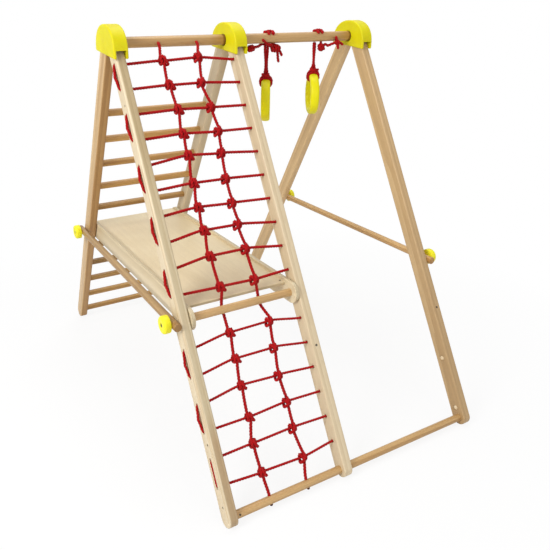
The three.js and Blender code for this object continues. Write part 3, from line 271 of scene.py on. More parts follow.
def plastic(name, color, deep, roughness):
    """Moulded plastic with a fine even grain and a faint mottling."""
    s = Shader(name)
    where = s.place()
    cloud = s.noise(where, 14, 3, 0.5)
    grain = s.noise(where, 900, 2, 0.6)
    scuff = s.noise(where, 70, 4, 0.7, 0.6)
    tint = s.ramp(s.span(cloud, 0.3, 0.7), (0.0, deep), (1.0, color))
    s.set(Base_Color=tint, Specular_IOR_Level=0.24, Subsurface_Weight=0.06, Subsurface_Scale=0.004)
    s.set(Roughness=s.span(scuff, 0.35, 0.75, roughness, roughness + 0.16))
    s.bump(s.plus(grain, s.times(scuff, 0.5)), 0.00006)
    return s.material


def rope_fibre(name, color, deep):
    """Twisted fibre: fine yarns along the rope's own length, with a soft sheen."""
    s = Shader(name)
    stretch = s.add("Mapping", s.add("UVMap", uv_map="lay"), Scale=(26, 0.35, 1))
    yarn = s.add(
        "TexWave", stretch, wave_type="BANDS", bands_direction="DIAGONAL", Scale=1.0, Distortion=1.2, Detail=2
    )
    hair = s.noise(s.place(), 1600, 3, 0.7)
    tone = s.plus(s.times(yarn.outputs["Fac"], 0.5), s.times(hair, 0.5))
    tint = s.ramp(tone, (0.15, deep), (0.6, color), (0.95, toned(color, 1.5)))
    s.set(Base_Color=tint, Roughness=0.72, Specular_IOR_Level=0.2, Sheen_Weight=0.06, Sheen_Roughness=0.4)
    s.bump(tone, 0.00035, 0.8)
    return s.material


def metal(name, color, roughness):
    s = Shader(name)
    brushed = s.noise(s.place(scale=(1, 30, 30)), 60, 3, 0.6)
    spots = s.noise(s.place(), 180, 4, 0.7)
    s.set(Base_Color=s.mix(s.span(spots, 0.4, 0.7, 0, 0.5), color, toned(color, 0.7)))
    s.set(Metallic=1.0, Roughness=s.span(brushed, 0.3, 0.7, roughness, roughness + 0.15))
    s.bump(brushed, 0.00004)
    return s.material


# Each wood has a pale and a deep colour.
PALE = linear(225, 209, 178), linear(194, 171, 133)
TAN = linear(214, 184, 137), linear(176, 142, 96)
ROUND = linear(206, 171, 117), linear(167, 126, 75)
RUNG = linear(207, 164, 97), linear(160, 114, 55)
PLY = linear(227, 212, 178), linear(202, 183, 145)
ALONG_X, ALONG_Y = (0, pi / 2, 0), (pi / 2, 0, 0)
AT_ALL_HEIGHTS = 2000, 1900
yellow = plastic("yellow_plastic", linear(220, 211, 5), linear(207, 196, 2), 0.42)
knob_yellow = plastic("knob_plastic", linear(240, 232, 50), linear(230, 220, 32), 0.4)
ring_yellow = plastic("ring_plastic", linear(234, 227, 6), linear(222, 213, 2), 0.36)
rope_red = rope_fibre("rope", linear(186, 3, 8), linear(92, 0, 4))
# The net's stubs under the foot dowel: the rope painted near black, as painted shade.
painted_shade_stub = rope_fibre("melted_rope", linear(74, 22, 20), linear(36, 10, 10))
steel = metal("steel", linear(176, 176, 172), 0.34)
dark_steel = metal("dark_steel", linear(70, 66, 62), 0.45)


# Mesh helpers.
def finish_mesh(name, mesh, body, slot, material, *nodes, angle=38, weighted=False):
    """Makes a piece of a mesh: smooth shading, material, body and the nodes it stands for. The slot is not used."""
    mesh.materials.clear()
    mesh.materials.append(material)
    mesh.polygons.foreach_set("use_smooth", [True] * len(mesh.polygons))
    mesh.set_sharp_from_angle(angle=radians(angle))
    mesh.update()
    piece = add_object(name, mesh)
    if weighted:
        piece.modifiers.new("normals", "WEIGHTED_NORMAL").keep_sharp = True
    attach(piece, body)
    if nodes:
        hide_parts(*nodes)
    return piece


def edited(mesh, change):
    """The mesh after a change to its edit mesh."""
    solid = bmesh.new()
    solid.from_mesh(mesh)
    change(solid)
    solid.to_mesh(mesh)
    solid.free()
    return mesh


def outward(mesh):
    """The mesh with every face turned outward and doubled points merged."""

    def change(solid):
        bmesh.ops.remove_doubles(solid, verts=solid.verts, dist=1e-7)
        bmesh.ops.recalc_face_normals(solid, faces=solid.faces)

    return edited(mesh, change)


def mesh_of(vertices, faces, closed=True):
    mesh = bpy.data.meshes.new("shape")
    mesh.from_pydata([tuple(v) for v in vertices], [], faces)
    mesh.validate()
    return outward(mesh) if closed else mesh


def shares(steps):
    """Even steps from 0 to 1."""
    return [i / steps for i in range(steps + 1)]


def axes_of(direction):
    """A unit vector along the direction, and two across it."""
    along = Vector(direction).normalized()
    side = along.orthogonal().normalized()
    return along, side, along.cross(side)


def bands(rows, sides, closed=False):
    """Quads between rows of points that go round; closed joins the last row to the first."""
    faces = []
    for i in range(rows if closed else rows - 1):
        first, second = i * sides, (i + 1) % rows * sides
        for k in range(sides):
            n = (k + 1) % sides
            faces.append((first + k, first + n, second + n, second + k))
    return faces


def lathe(profile, y, z, sides=64, matrix=WORLD):
    """A solid of revolution about an X axis through (y, z). The profile lists (x, radius) and ends on the axis."""
    circle = [2 * pi * k / sides for k in range(sides)]
    points = [(profile[0][0], y, z)]
    for x, radius in profile[1:-1]:
        points += [(x, y + radius * cos(turn), z + radius * sin(turn)) for turn in circle]
    points.append((profile[-1][0], y, z))
    last = len(points) - 1
    faces = [tuple(i + 1 for i in face) for face in bands(len(profile) - 2, sides)]
    for k in range(sides):
        n = (k + 1) % sides
        faces += [(0, n + 1, k + 1), (last - sides + k, last - sides + n, last)]
    return mesh_of([matrix @ Vector(p) * MM for p in points], faces)


def cylinder(x0, x1, y, z, radius, sides=32, matrix=WORLD):
    return lathe([(x0, 0), (x0, radius), (x1, radius), (x1, 0)], y, z, sides, matrix)


def eased(start, end, radius, edge, steps=4):
    """The profile of a round bar with rounded ends."""
    points = [(start, 0), *arc(start + edge, radius - edge, edge, pi, pi / 2, steps)]
    return points + [(start + end - x, r) for x, r in reversed(points)]


def arc(centre_y, centre_z, radius, start, end, steps):
    turns = [start + (end - start) * share for share in shares(steps)]
    return [(centre_y + radius * cos(t), centre_z + radius * sin(t)) for t in turns]


def stadium(radius, y0, z0, y1, z1, steps=24):
    heading = atan2(z1 - z0, y1 - y0)
    half = pi / 2
    first = arc(y0, z0, radius, heading + half, heading + 3 * half, steps)
    return first + arc(y1, z1, radius, heading - half, heading + half, steps)


def plate(outline, start, end, edge, matrix=WORLD, rounds=4):
    """A flat piece with an outline in the YZ plane, from X start to end. Its edges are rounded."""
    curve = bpy.data.curves.new("outline", "CURVE")
    curve.dimensions = "2D"
    curve.fill_mode = "BOTH"
    spline = curve.splines.new("POLY")
    spline.points.add(len(outline) - 1)
    for point, (y, z) in zip(spline.points, outline, strict=True):
        point.co = (y * MM, z * MM, 0, 1)
    spline.use_cyclic_u = True
    curve.extrude = ((end - start) / 2 - edge) * MM
    if edge > 0:
        curve.bevel_depth = edge * MM
        curve.bevel_resolution = rounds
        curve.offset = -edge * MM
    holder = bpy.data.objects.new("outline", curve)
    mesh = bpy.data.meshes.new_from_object(holder)
    bpy.data.objects.remove(holder)
    bpy.data.curves.remove(curve)
    turn = Matrix(((0, 0, 1), (1, 0, 0), (0, 1, 0))).to_4x4()
    into = Matrix.Scale(MM, 4) @ matrix @ Matrix.Scale(1 / MM, 4)
    mesh.transform(into @ Matrix.Translation(((start + end) / 2 * MM, 0, 0)) @ turn)
    return outward(mesh)


def carve(mesh, cutters):
    """The mesh with the cutters taken out of it."""
    target = add_object("target", mesh)
    tools = []
    for cutter in cutters:
        tools.append(add_object("tool", cutter))
        change = target.modifiers.new("cut", "BOOLEAN")
        change.operation = "DIFFERENCE"
        change.solver = "EXACT"
        change.object = tools[-1]
    graph = bpy.context.evaluated_depsgraph_get()
    result = bpy.data.meshes.new_from_object(target.evaluated_get(graph))
    for thing in (target, *tools):
        bpy.data.objects.remove(thing)
    return result


def joined(meshes):
    """Several meshes as one."""

    def gather(solid):
        for mesh in meshes:
            solid.from_mesh(mesh)

    return edited(bpy.data.meshes.new("joined"), gather)


def flattened(mesh):
    """The mesh cut level at the floor, with the cut closed."""

    def change(solid):
        everything = solid.verts[:] + solid.edges[:] + solid.faces[:]
        cut = bmesh.ops.bisect_plane(
            solid, geom=everything, plane_co=(0, 0, 0), plane_no=(0, 0, -1), clear_outer=True, dist=1e-7
        )
        rim = [item for item in cut["geom_cut"] if isinstance(item, bmesh.types.BMEdge)]
        bmesh.ops.holes_fill(solid, edges=rim, sides=0)
        bmesh.ops.recalc_face_normals(solid, faces=solid.faces)

    return edited(mesh, change)


# Ropes: three strands twisted together, swept along a smooth route.
def distances(route):
    """How far along the route each of its points is."""
    return np.r_[0, np.cumsum(np.linalg.norm(np.diff(route, axis=0), axis=1))]


def smooth_route(points, step=1.6):
    """A centripetal curve through the points, with even steps, in millimetres."""
    knots = np.array([tuple(p) for p in points], float)
    knots = knots[np.r_[True, np.linalg.norm(np.diff(knots, axis=0), axis=1) > 0.05]]
    ring = np.vstack([2 * knots[0] - knots[1], knots, 2 * knots[-1] - knots[-2]])
    fine = []
    for p0, p1, p2, p3 in zip(ring, ring[1:], ring[2:], ring[3:], strict=False):
        t1 = sqrt(max(np.linalg.norm(p1 - p0), 1e-6))
        t2 = t1 + sqrt(max(np.linalg.norm(p2 - p1), 1e-6))
        t3 = t2 + sqrt(max(np.linalg.norm(p3 - p2), 1e-6))
        count = max(2, int(np.linalg.norm(p2 - p1) / (step / 3)))
        t = np.linspace(t1, t2, count, endpoint=False)[:, None]
        a1 = (t1 - t) / t1 * p0 + t / t1 * p1
        a2 = (t2 - t) / (t2 - t1) * p1 + (t - t1) / (t2 - t1) * p2
        a3 = (t3 - t) / (t3 - t2) * p2 + (t - t2) / (t3 - t2) * p3
        b1 = (t2 - t) / t2 * a1 + t / t2 * a2
        b2 = (t3 - t) / (t3 - t1) * a2 + (t - t1) / (t3 - t1) * a3
        fine.append((t2 - t) / (t2 - t1) * b1 + (t - t1) / (t2 - t1) * b2)
    fine = np.vstack([*fine, knots[-1:]])
    along = distances(fine)
    at = np.linspace(0, along[-1], max(8, int(along[-1] / step)))
    return np.stack([np.interp(at, along, fine[:, k]) for k in range(3)], axis=1)


def rope_tube(route, radius, phase):
    """Vertices, faces and UVs of a three-strand rope along a route, closed and rounded at both ends."""
    count = len(route)
    tangent = np.gradient(route, axis=0)
    tangent /= np.linalg.norm(tangent, axis=1)[:, None]
    normal = np.empty_like(route)
    guess = np.array([0.31, 0.52, 0.8])
    for i in range(count):
        guess = guess - tangent[i] * (guess @ tangent[i])
        guess /= np.linalg.norm(guess)
        normal[i] = guess
    side = np.cross(tangent, normal)
    along = distances(route)
    theta = 2 * pi * np.arange(ROPE_SIDES) / ROPE_SIDES
    local = (theta + pi / 3) % (2 * pi / 3) - pi / 3
    offset, lobe = 0.44 * radius, 0.6 * radius
    shape = offset * np.cos(local) + np.sqrt(lobe**2 - (offset * np.sin(local)) ** 2)
    ends = np.clip(np.minimum(along, along[-1] - along) / radius, 0.0, 1)
    shape = shape * np.sqrt(np.clip(1 - (1 - ends) ** 2, 0.12, 1))[:, None]
    angle = (theta + (2 * pi * along / ROPE_LAY + phase)[:, None])[..., None]
    out = np.cos(angle) * normal[:, None] + np.sin(angle) * side[:, None]
    vertices = (route[:, None] + shape[..., None] * out).reshape(-1, 3)
    last = (count - 1) * ROPE_SIDES
    faces = [*bands(count, ROPE_SIDES), tuple(range(ROPE_SIDES))[::-1], tuple(range(last, last + ROPE_SIDES))]
    uv = np.stack([np.tile(theta / (2 * pi), count), np.repeat(along / 10, ROPE_SIDES)], axis=1)
    return vertices, faces, uv


def rope_piece(name, body, routes, radii, *nodes, material=rope_red):
    """A piece of one or more ropes; the last radius goes for the rest of them."""
    vertices, faces, coordinates, start = [], [], [], 0
    for index, route in enumerate(routes):
        points, sides, uv = rope_tube(route, radii[min(index, len(radii) - 1)], index * 0.9)
        vertices.append(points)
        coordinates.append(uv)
        faces += [tuple(i + start for i in face) for face in sides]
        start += len(points)
    mesh = bpy.data.meshes.new("rope")
    mesh.from_pydata((np.vstack(vertices) * MM).tolist(), [], faces)
    layer = mesh.uv_layers.new(name="lay")
    corners = np.zeros(len(mesh.loops), np.int32)
    mesh.loops.foreach_get("vertex_index", corners)
    layer.data.foreach_set("uv", np.vstack(coordinates)[corners].astype(np.float32).ravel())
    return finish_mesh(name, mesh, body, "rope", material, *nodes, angle=60)


# Net. No row runs where the platform's front dowel is.
ROW_DROPS = [FIRST_ROW + i * ROW_PITCH for i in range(ROWS)]
ROW_DROPS = [drop for drop in ROW_DROPS if abs(drop - PLATFORM_DROP) > ROW_CLEARANCE]
UPPER = [d for d in ROW_DROPS if d < PLATFORM_DROP]
LOWER = [d for d in ROW_DROPS if d > PLATFORM_DROP]
# For each row, a knot's distance from the left leg's middle and its height over the row's holes.
LEFT_KNOTS = [
    (136, 6), (138, 5), (146, 4), (142, 5), (142, 14), (136, 6), (132, 9), (132, 15),
    (131, 14), (139, -3), (133, 15), (131, 15), (128, 14), (128, -1), (120, 2), (125, -6),
]
RIGHT_KNOTS = [
    (254, 11), (243, 6), (254, 2), (258, 1), (250, 9), (243, 5), (243, 5), (244, 14),
    (249, 14), (253, -5), (267, 16), (260, 14), (252, 9), (257, 4), (255, 4), (264, -10),
]
# The upright rope's hitch round a row, in rope diameters: along the row, up the leg, towards the viewer.
HITCH = [
    (-0.3, 1.25, 0.3), (-0.5, 0.2, 1.0), (-0.52, -0.75, 0.62), (-0.5, -0.98, -0.1), (-0.46, -0.6, -0.8),
    (-0.42, 0.2, -0.98), (-0.4, 0.88, -0.42), (-0.34, 1.12, 0.4), (-0.2, 0.85, 1.18), (0.08, 0.1, 1.62),
    (0.5, -0.85, 1.15), (0.98, -1.28, 0.3), (0.68, -0.8, -0.7), (0.5, 0.1, -1.0), (0.5, 0.82, -0.5),
    (0.52, 0.92, 0.35), (0.42, 0.35, 0.92), (0.2, -0.45, 0.86), (0.04, -1.25, 0.5),
]


def in_front(x, out, drop):
    """A point of the front frame: out is towards the viewer, drop is down the leg."""
    return FRONT @ Vector((x, -out, -drop))


def outer_turn(x, side, top, bottom, sunk):
    """The rope outside a leg, from one row's hole to the next, proud of the leg or sunk in its groove."""
    face = x + side * HALF_LEG
    proud, lift = (-1.6, 0) if sunk else (1.8, 4.6)
    bend = 8.5
    turns = [pi / 2 * share for share in shares(3)]
    quarter = [(proud - bend + bend * sin(turn), bend * (1 - cos(turn))) for turn in turns]
    points = [(out, top + down) for out, down in quarter]
    for share in (0.35, 0.5, 0.65):
        points.append((proud + lift * (1 - abs(share - 0.5) * 3), top + (bottom - top) * share))
    points += [(out, bottom - up) for out, up in reversed(quarter)]
    return [in_front(face + side * out, 0, drop) for out, drop in points]


def barrel(start, direction, turns=1.6, radius=4.2, length=7):
    """A stop knot: the rope runs straight, turns back and coils round itself."""
    along, side, other = axes_of(direction)
    points = [start + along * (length * t) for t in (0.1, 0.45, 0.8)]
    for share in shares(int(10 * turns)):
        turn = 2 * pi * turns * share
        back = length * (0.98 - 0.8 * share)
        points.append(start + along * back + radius * (cos(turn) * side + sin(turn) * other))
    return points


def hitch(x, drop, flip, rng, scale):
    """The hitch at one knot, with a small lean and unevenness of its own."""
    size = 2 * ROPE_RADIUS * scale
    lean = rng.uniform(-0.16, 0.16)
    points = []
    for a, u, n in HITCH:
        near = max(0.0, 1 - abs(u) / 2.6)
        across = flip * a * (1.35 + rng.uniform(-0.06, 0.06)) + lean * u * near
        wide = (1 + 0.16 * near) * (1 + rng.uniform(-0.03, 0.03))
        points.append(in_front(x + across * size, n * size, drop - u * size * wide))
    return points


def knot_place(knots, row):
    distance, lift = knots[row]
    return LEFT_X + distance, ROW_DROPS[row] - lift


def laced(rows):
    """One rope through its rows, from a stop knot on the hidden face and back to it."""
    first = ROW_DROPS.index(rows[0])

    def stop(drop):
        return barrel(in_front(MIDDLE_X + HALF_LEG + 1, 0, drop), (1, 0, 0), 1.4, 3.4, 4)

    route = stop(rows[0])[::-1]
    for i, drop in enumerate(rows):
        run = [(LEFT_X + HALF_LEG + inward, drop) for inward in (-8, 3)]
        for knots in (LEFT_KNOTS, RIGHT_KNOTS):
            x, at = knot_place(knots, first + i)
            run += [(x + aside, at) for aside in (-14, 0, 14)]
        run += [(MIDDLE_X - HALF_LEG + out, drop) for out in (-3, 8)]
        leftward = i % 2 == 0
        if leftward:
            run.reverse()
        route += [in_front(x, 0, at) for x, at in run]
        if i + 1 < len(rows):
            x, side = (LEFT_X, -1) if leftward else (MIDDLE_X, 1)
            route += outer_turn(x, side, drop, rows[i + 1], leftward and drop == LOWER[-2])
    return smooth_route(route + stop(rows[-1]))


def upright(knots, top, foot, flip, seed):
    """An upright rope: out of the top bar, hitched to each row, behind one dowel and through the foot dowel."""
    rng = random.Random(seed)
    x, high = LEFT_X + top, TOP_BAR_HEIGHT - 2
    points = barrel(Vector((x, TOP_BAR_RADIUS + 1, high)), (0, 1, 0))[::-1]
    for out, down in ((10, 0), (TOP_BAR_RADIUS + 2, 0.3), (TOP_BAR_RADIUS + 7, 2.5), (TOP_BAR_RADIUS + 12, 9)):
        points.append(Vector((x, -out, high - down)))
    for row in range(len(ROW_DROPS)):
        place, drop = knot_place(knots, row)
        points += hitch(place, drop, flip, rng, 1.22 if row < len(UPPER) else 1.08)
        if row == len(UPPER) - 1:
            middle = (place + knot_place(knots, row + 1)[0]) / 2
            for drift in (12, 0, -12):
                behind = BAR_RADIUS + ROPE_RADIUS + 0.8 - abs(drift) / 6
                points.append(in_front(middle, -behind, PLATFORM_DROP - drift))

    def at_foot(drop):
        return in_front(LEFT_X + foot, 0, LEG_LENGTH + drop)

    points += [at_foot(-BAR_RADIUS - 8), at_foot(BAR_RADIUS + 1)]
    # A short stub under the foot dowel, in the rope painted dark as painted shade.
    stub = smooth_route([at_foot(BAR_RADIUS + drop) for drop in (-2, 2, 5)], 0.7)
    rope_piece(f"net_end_{seed}", "front_frame", [stub], [5.2], material=painted_shade_stub)
    return smooth_route(points)


def make_net():
    left = upright(LEFT_KNOTS, 139, 130, 1, 3)
    right = upright(RIGHT_KNOTS, 266, 257, -1, 8)
    routes = [laced(UPPER), laced(LOWER), left, right]
    rope_piece("net", "front_frame", routes, [NET_ROPE, LOWER_ROPE, UPRIGHT_ROPE], "climbing_net")


# Ropes of the rings, from points about the axis of the right top bar.
def ring_loop(turn, drop):
    """The loop under the ring's rim, from strand to strand."""
    bend = 4 * ROPE_RADIUS
    neck = STRAND_SPACING / 2 + bend
    lift = sqrt((LOOP_RADIUS + bend) ** 2 - neck**2)
    meet = atan2(lift, neck)
    angles = [pi + meet * share for share in shares(6)]
    side = [(neck + bend * cos(a), lift + bend * sin(a)) for a in angles]
    low = [meet - (pi + 2 * meet) * share for share in shares(20)[1:-1]]
    rim = [(LOOP_RADIUS * cos(a), LOOP_RADIUS * sin(a)) for a in low]
    across = Vector((cos(turn), -sin(turn), 0))
    whole = side + rim + [(-out, up) for out, up in reversed(side)]
    return [across * out + Vector((0, 0, up - drop)) for out, up in whole]


# For points down a strand: the share of its way, how far it has turned, and how far it has turned back.
STRAND_WAY = (
    (0.12, 0.03, 0), (0.26, 0.18, 0), (0.42, 0.6, 0), (0.58, 0.95, 0), (0.74, 1, 0), (0.86, 1, 0.12), (0.95, 1, 0.55),
)


def strand(x, y, end, turned):
    """A strand from just under the bar to the neck of the loop, round its neighbour to the angle turned and back."""
    points = [(x, y, -TOP_BAR_RADIUS - 0.3), (x, y, -SWING_DROP)]
    first, last = atan2(y, x), atan2(end.y, end.x)
    reach, close = hypot(x, y), hypot(end.x, end.y)
    if x < 0:
        first, last, turned = first % (2 * pi), last % (2 * pi), turned + pi
    for share, part, back in STRAND_WAY:
        angle = first + (turned - first) * part
        angle += (last - angle) * back
        radius = reach + (4.5 - reach) * part
        radius += (close - radius) * back
        points.append((radius * cos(angle), radius * sin(angle), -SWING_DROP + (end.z + SWING_DROP) * share))
    return points


def coil(centre, direction, length, radius, turns, start=0.0, slack=0.0):
    """Turns of rope round an axis, swelling from it and closing on it again: the body of a knot."""
    along, side, other = axes_of(direction)
    points = []
    for share in shares(int(turns * 11)):
        turn = start + 2 * pi * turns * share
        swell = radius * min(1.0, share / 0.16, (1 - share) / 0.16) ** 0.6
        swell *= 1 + slack * sin(2.3 * turn + 1)
        place = Vector(centre) + along * length * (share - 0.5)
        points.append(place + swell * (cos(turn) * side + sin(turn) * other))
    return points


def over_bar(spread):
    """Up one hole, to and fro over the top and front of the bar in two humps, and down the other hole."""
    first = -spread / 2
    second = first + HANGER_SPAN
    points = [(first, 0, 0.3 - TOP_BAR_RADIUS), (first, 0, 0), (first, 0, 14)]
    for share in shares(26):
        wave = 4 * pi * share
        lean = radians(22 - 26 * cos(wave))
        reach = TOP_BAR_RADIUS + RING_ROPE + 0.2 + 1.8 * sin(pi * share)
        x = first - 1 + (HANGER_SPAN + 2) * share + 4.5 * sin(wave)
        points.append((x, -reach * sin(lean), reach * cos(lean)))
    return [*points, (second, 0, 14), (second, 0, 0), (second, 0, -14)]


def hung_rope(x, name, body, points, *nodes):
    """A rope under the bar, and its route."""
    origin = Vector((x, 0, TOP_BAR_HEIGHT))
    route = smooth_route([origin + Vector(p) for p in points], 1.4)
    return rope_piece(name, body, [route], [RING_ROPE], *nodes), route


def ring_cord(x, name, body, node, points):
    """A rope under the bar, standing for the node."""
    rope, route = hung_rope(x, name, body, points, node)


def ring_strands(name, x, height, turn, spread, stagger, turned, stub):
    """The two strands and the loop that hold a ring, and a hitch round the loop's neck with a short end."""
    turn, turned = radians(turn), radians(turned)
    drop = TOP_BAR_HEIGHT - (height + RING_RADIUS + LOOP_RADIUS - ROPE_RADIUS - RING_HALF_DEPTH - 0.3)
    loop = ring_loop(turn, drop)
    down = strand(spread / 2, stagger / 2, loop[0], turned)
    up = strand(-spread / 2, -stagger / 2, loop[-1], turned)
    across = Vector((cos(turn), -sin(turn), 0))
    along = Vector((sin(turn), cos(turn), 0))
    start, way = (0.45, -3.6) if stub[0] < 0 else (0.55, 3.6)
    neck = []
    for share in shares(22):
        angle = pi * (start + way * share)
        rise = 23 - drop - 6 * share + 1.5 * sin(angle)
        neck.append(8.4 * cos(angle) * across + 7.2 * sin(angle) * along + Vector((0, 0, rise)))
    body = name + "_rope"
    end, _ = hung_rope(x, name + "_end", body, [*neck, stub])
    ring_cord(x, name + "_cord", body, body, [*down, *loop, *reversed(up)])


def left_hanger(x):
    main = [
        *over_bar(13), (34, 6, -20), (47, 4, -25),
        *coil((32.5, -5, -31.25), (-27, 2, 1.5), 30, 9.2, 3.3, 0.6, 0.08),
        (14, -10.5, -23), (9, -13.9, -19.2), (0, -14.6, -18.2), (-9, -15.9, -15.6), (-18, -18.8, -9.6),
        (-29.5, -21.2, -1),
    ]
    tie = [
        (-81, 0, -7.3), (-81, 0, -20), (-78, 0, -26),
        *coil((-61, -1, -29), (1, 0, 0.04), 19, 7.6, 2.6, 1.0, 0.06),
        (-42, 1, -26), (-28, 5, -24), (-12, 12, -18.3), (12, 12, -18.3), (21, 7, -25), (28, -3, -30),
        (44, -7, -36), (52, -7, -46), (57.8, -7, -57),
    ]
    ends = [(38, -7, -34), (41, -6, -50), (42, -7, -64), (44.7, -7, -77)]
    tail, _ = hung_rope(x, "ring_left_tail", "front_frame", ends)
    node = "ring_left_hanger"
    ring_cord(x, "ring_left_tied_cord", "front_frame", node, main)
    ring_cord(x, "ring_left_tie_cord", "front_frame", node, tie)


def right_hanger(x):
    ball = (23, -6, -33)
    main = [
        *over_bar(9.4),
        *coil(ball, (0.1, -0.2, -1), 22, 4.8, 1.5, 0.3),
        *coil(ball, (0.75, -0.4, 0.45), 19, 9.3, 2.8, 2.2, 0.06),
        (38, -9, -24), (48, -11, -28.5), (58, -17, -24),
        *coil((77, -25, -18.5), (1, -0.2, 0.05), 15, 4.6, 1.7, 0.4),
        (93, -27.5, -22), (102, -28, -28),
    ]
    crossing = [(67, -28.5, 2.7), (71, -28, -6), (77, -26, -17), (79, -27.5, -29), (80.6, -28, -41.5)]
    ends, _ = hung_rope(x, "ring_right_ends", "front_frame", crossing)
    rising = [(80, -25, -19), (80, -19, -9), (80, -16, -8), (80, -7.3, -8)]
    seat, _ = hung_rope(x, "ring_right_seat", "front_frame", rising)
    ring_cord(x, "ring_right_tied_cord", "front_frame", "ring_right_hanger", main)


make_net()
ring_strands("ring_left", *LEFT_RING, 33, 10.6, 0.0, 36, (-20, -9, -111))
left_hanger(LEFT_RING[0])
ring_strands("ring_right", *RIGHT_RING, 26, 8.2, 4.5, 50, (18, -9, -107))
right_hanger(RIGHT_HANGER_X)


# Legs.
def leg(name, x, seed, colors=PALE, cutters=(), painted_shades=(), rear=False):
    matrix, lean, body = (REAR, LEG_ANGLE, "rear_frame") if rear else (FRONT, -LEG_ANGLE, "front_frame")
    outline = stadium(LEG_RADIUS, 0, -LEG_LENGTH, 0, 0)
    mesh = plate(outline, x - HALF_LEG, x + HALF_LEG, LEG_EDGE, matrix, 6)
    if cutters:
        mesh = carve(mesh, cutters)
    material = wood(name + "_wood", colors, (lean, 0, 0), seed, painted_shades=painted_shades)
    finish_mesh(name + "_bar", flattened(mesh), body, "leg_wood", material, name, weighted=True)


def drilled(x0, x1, y, drop, radius):
    return cylinder(x0, x1, y, -drop, radius, matrix=FRONT)


def laced_cuts(x, side):
    """The rope's holes through a front leg, and the grooves between them in its outer face."""
    holes = joined([drilled(x - 20, x + 20, 0, drop, ROPE_HOLE) for drop in ROW_DROPS])
    face = x + side * HALF_LEG
    ends = sorted((face - side * 5.2, face + side * 5))
    start = 0 if side < 0 else 1
    pairs = [pair for rows in (UPPER, LOWER) for pair in list(zip(rows, rows[1:], strict=False))[start::2]]
    outlines = [stadium(ROPE_HOLE + 0.2, 0, -bottom, 0, -top) for top, bottom in pairs]
    return [holes, joined([plate(outline, *ends, 0, FRONT) for outline in outlines])]


def make_legs():
    outer = HALF_LEG - LEFT_X
    inner = outer - 2, outer - 5
    # Painted shade on the left front leg: all but its outer face darker, deeper still from about 0.75 m up and below
    # about 0.29 m.
    left_painted_shades = (
        ((0.8, 0.8, 0.76, 1), 0, *inner, *AT_ALL_HEIGHTS),
        ((0.81, 0.75, 0.65, 1), 0, *inner, 750, 950),
        ((0.79, 0.68, 0.59, 1), 0, *inner, 290, 215),
    )
    # Painted shade on the right front leg: darker towards its foot, from about 0.8 m down to 0.15 m.
    right_painted_shades = (((0.84, 0.82, 0.8, 1), 0, outer + 30, outer + 20, 800, 150),)
    # Painted shade on the left rear leg: all but its outer face darker.
    rear_painted_shades = (((0.72, 0.6, 0.45, 1), 0, *inner, *AT_ALL_HEIGHTS),)
    inserts = joined([drilled(LEFT_X - 20, LEFT_X + 3, -INSERT_BACK, drop, 3.7) for drop in INSERT_DROPS])
    plug_holes = [drilled(RIGHT_X - 20, RIGHT_X - 12.5, 0, drop, 8.6) for drop in PLUG_DROPS]
    leg("left_front_leg", LEFT_X, 1.3, PALE, [*laced_cuts(LEFT_X, -1), inserts], left_painted_shades)
    leg("middle_front_leg", MIDDLE_X, 2.7, PALE, laced_cuts(MIDDLE_X, 1))
    leg("right_front_leg", RIGHT_X, 4.1, TAN, plug_holes, right_painted_shades)
    # The rear legs' woods are lit and shaded copies, each scaled by a tone of its own: painted light and shade.
    leg("left_rear_leg", LEFT_X, 5.9, shaded(TAN, 1.1), painted_shades=rear_painted_shades, rear=True)
    leg("middle_rear_leg", MIDDLE_X, 6.6, shaded(PALE, 0.96), rear=True)
    leg("right_rear_leg", RIGHT_X, 8.2, shaded(TAN, 1.2), rear=True)
    x = RIGHT_X - HALF_LEG
    profile = [(x + 0.2, 0), (x + 0.2, 6.5), (x + 0.7, 7.3), (x + 2.4, 7.5), (x + 2.4, 0)]
    for name, drop in zip(("right_leg_upper_plug", "right_leg_lower_plug"), PLUG_DROPS, strict=True):
        material = wood(name + "_wood", (toned(PALE[0], 1.05), TAN[0]), ALONG_X, drop / 100, 0.6)
        finish_mesh(name + "_disc", lathe(profile, 0, -drop, 48, FRONT), "front_frame", "plug_wood", material, name)


# Round bars.
def round_bar(name, node, ends, y, z, matrix, body, seed, radius=BAR_RADIUS, colors=ROUND, painted_shades=()):
    material = wood(name + "_wood", colors, ALONG_X, seed, 0.55, painted_shades=painted_shades)
    mesh = lathe(eased(*ends, radius, 1.2), y, z, 56, matrix)
    finish_mesh(name, mesh, body, "round_wood", material, node)


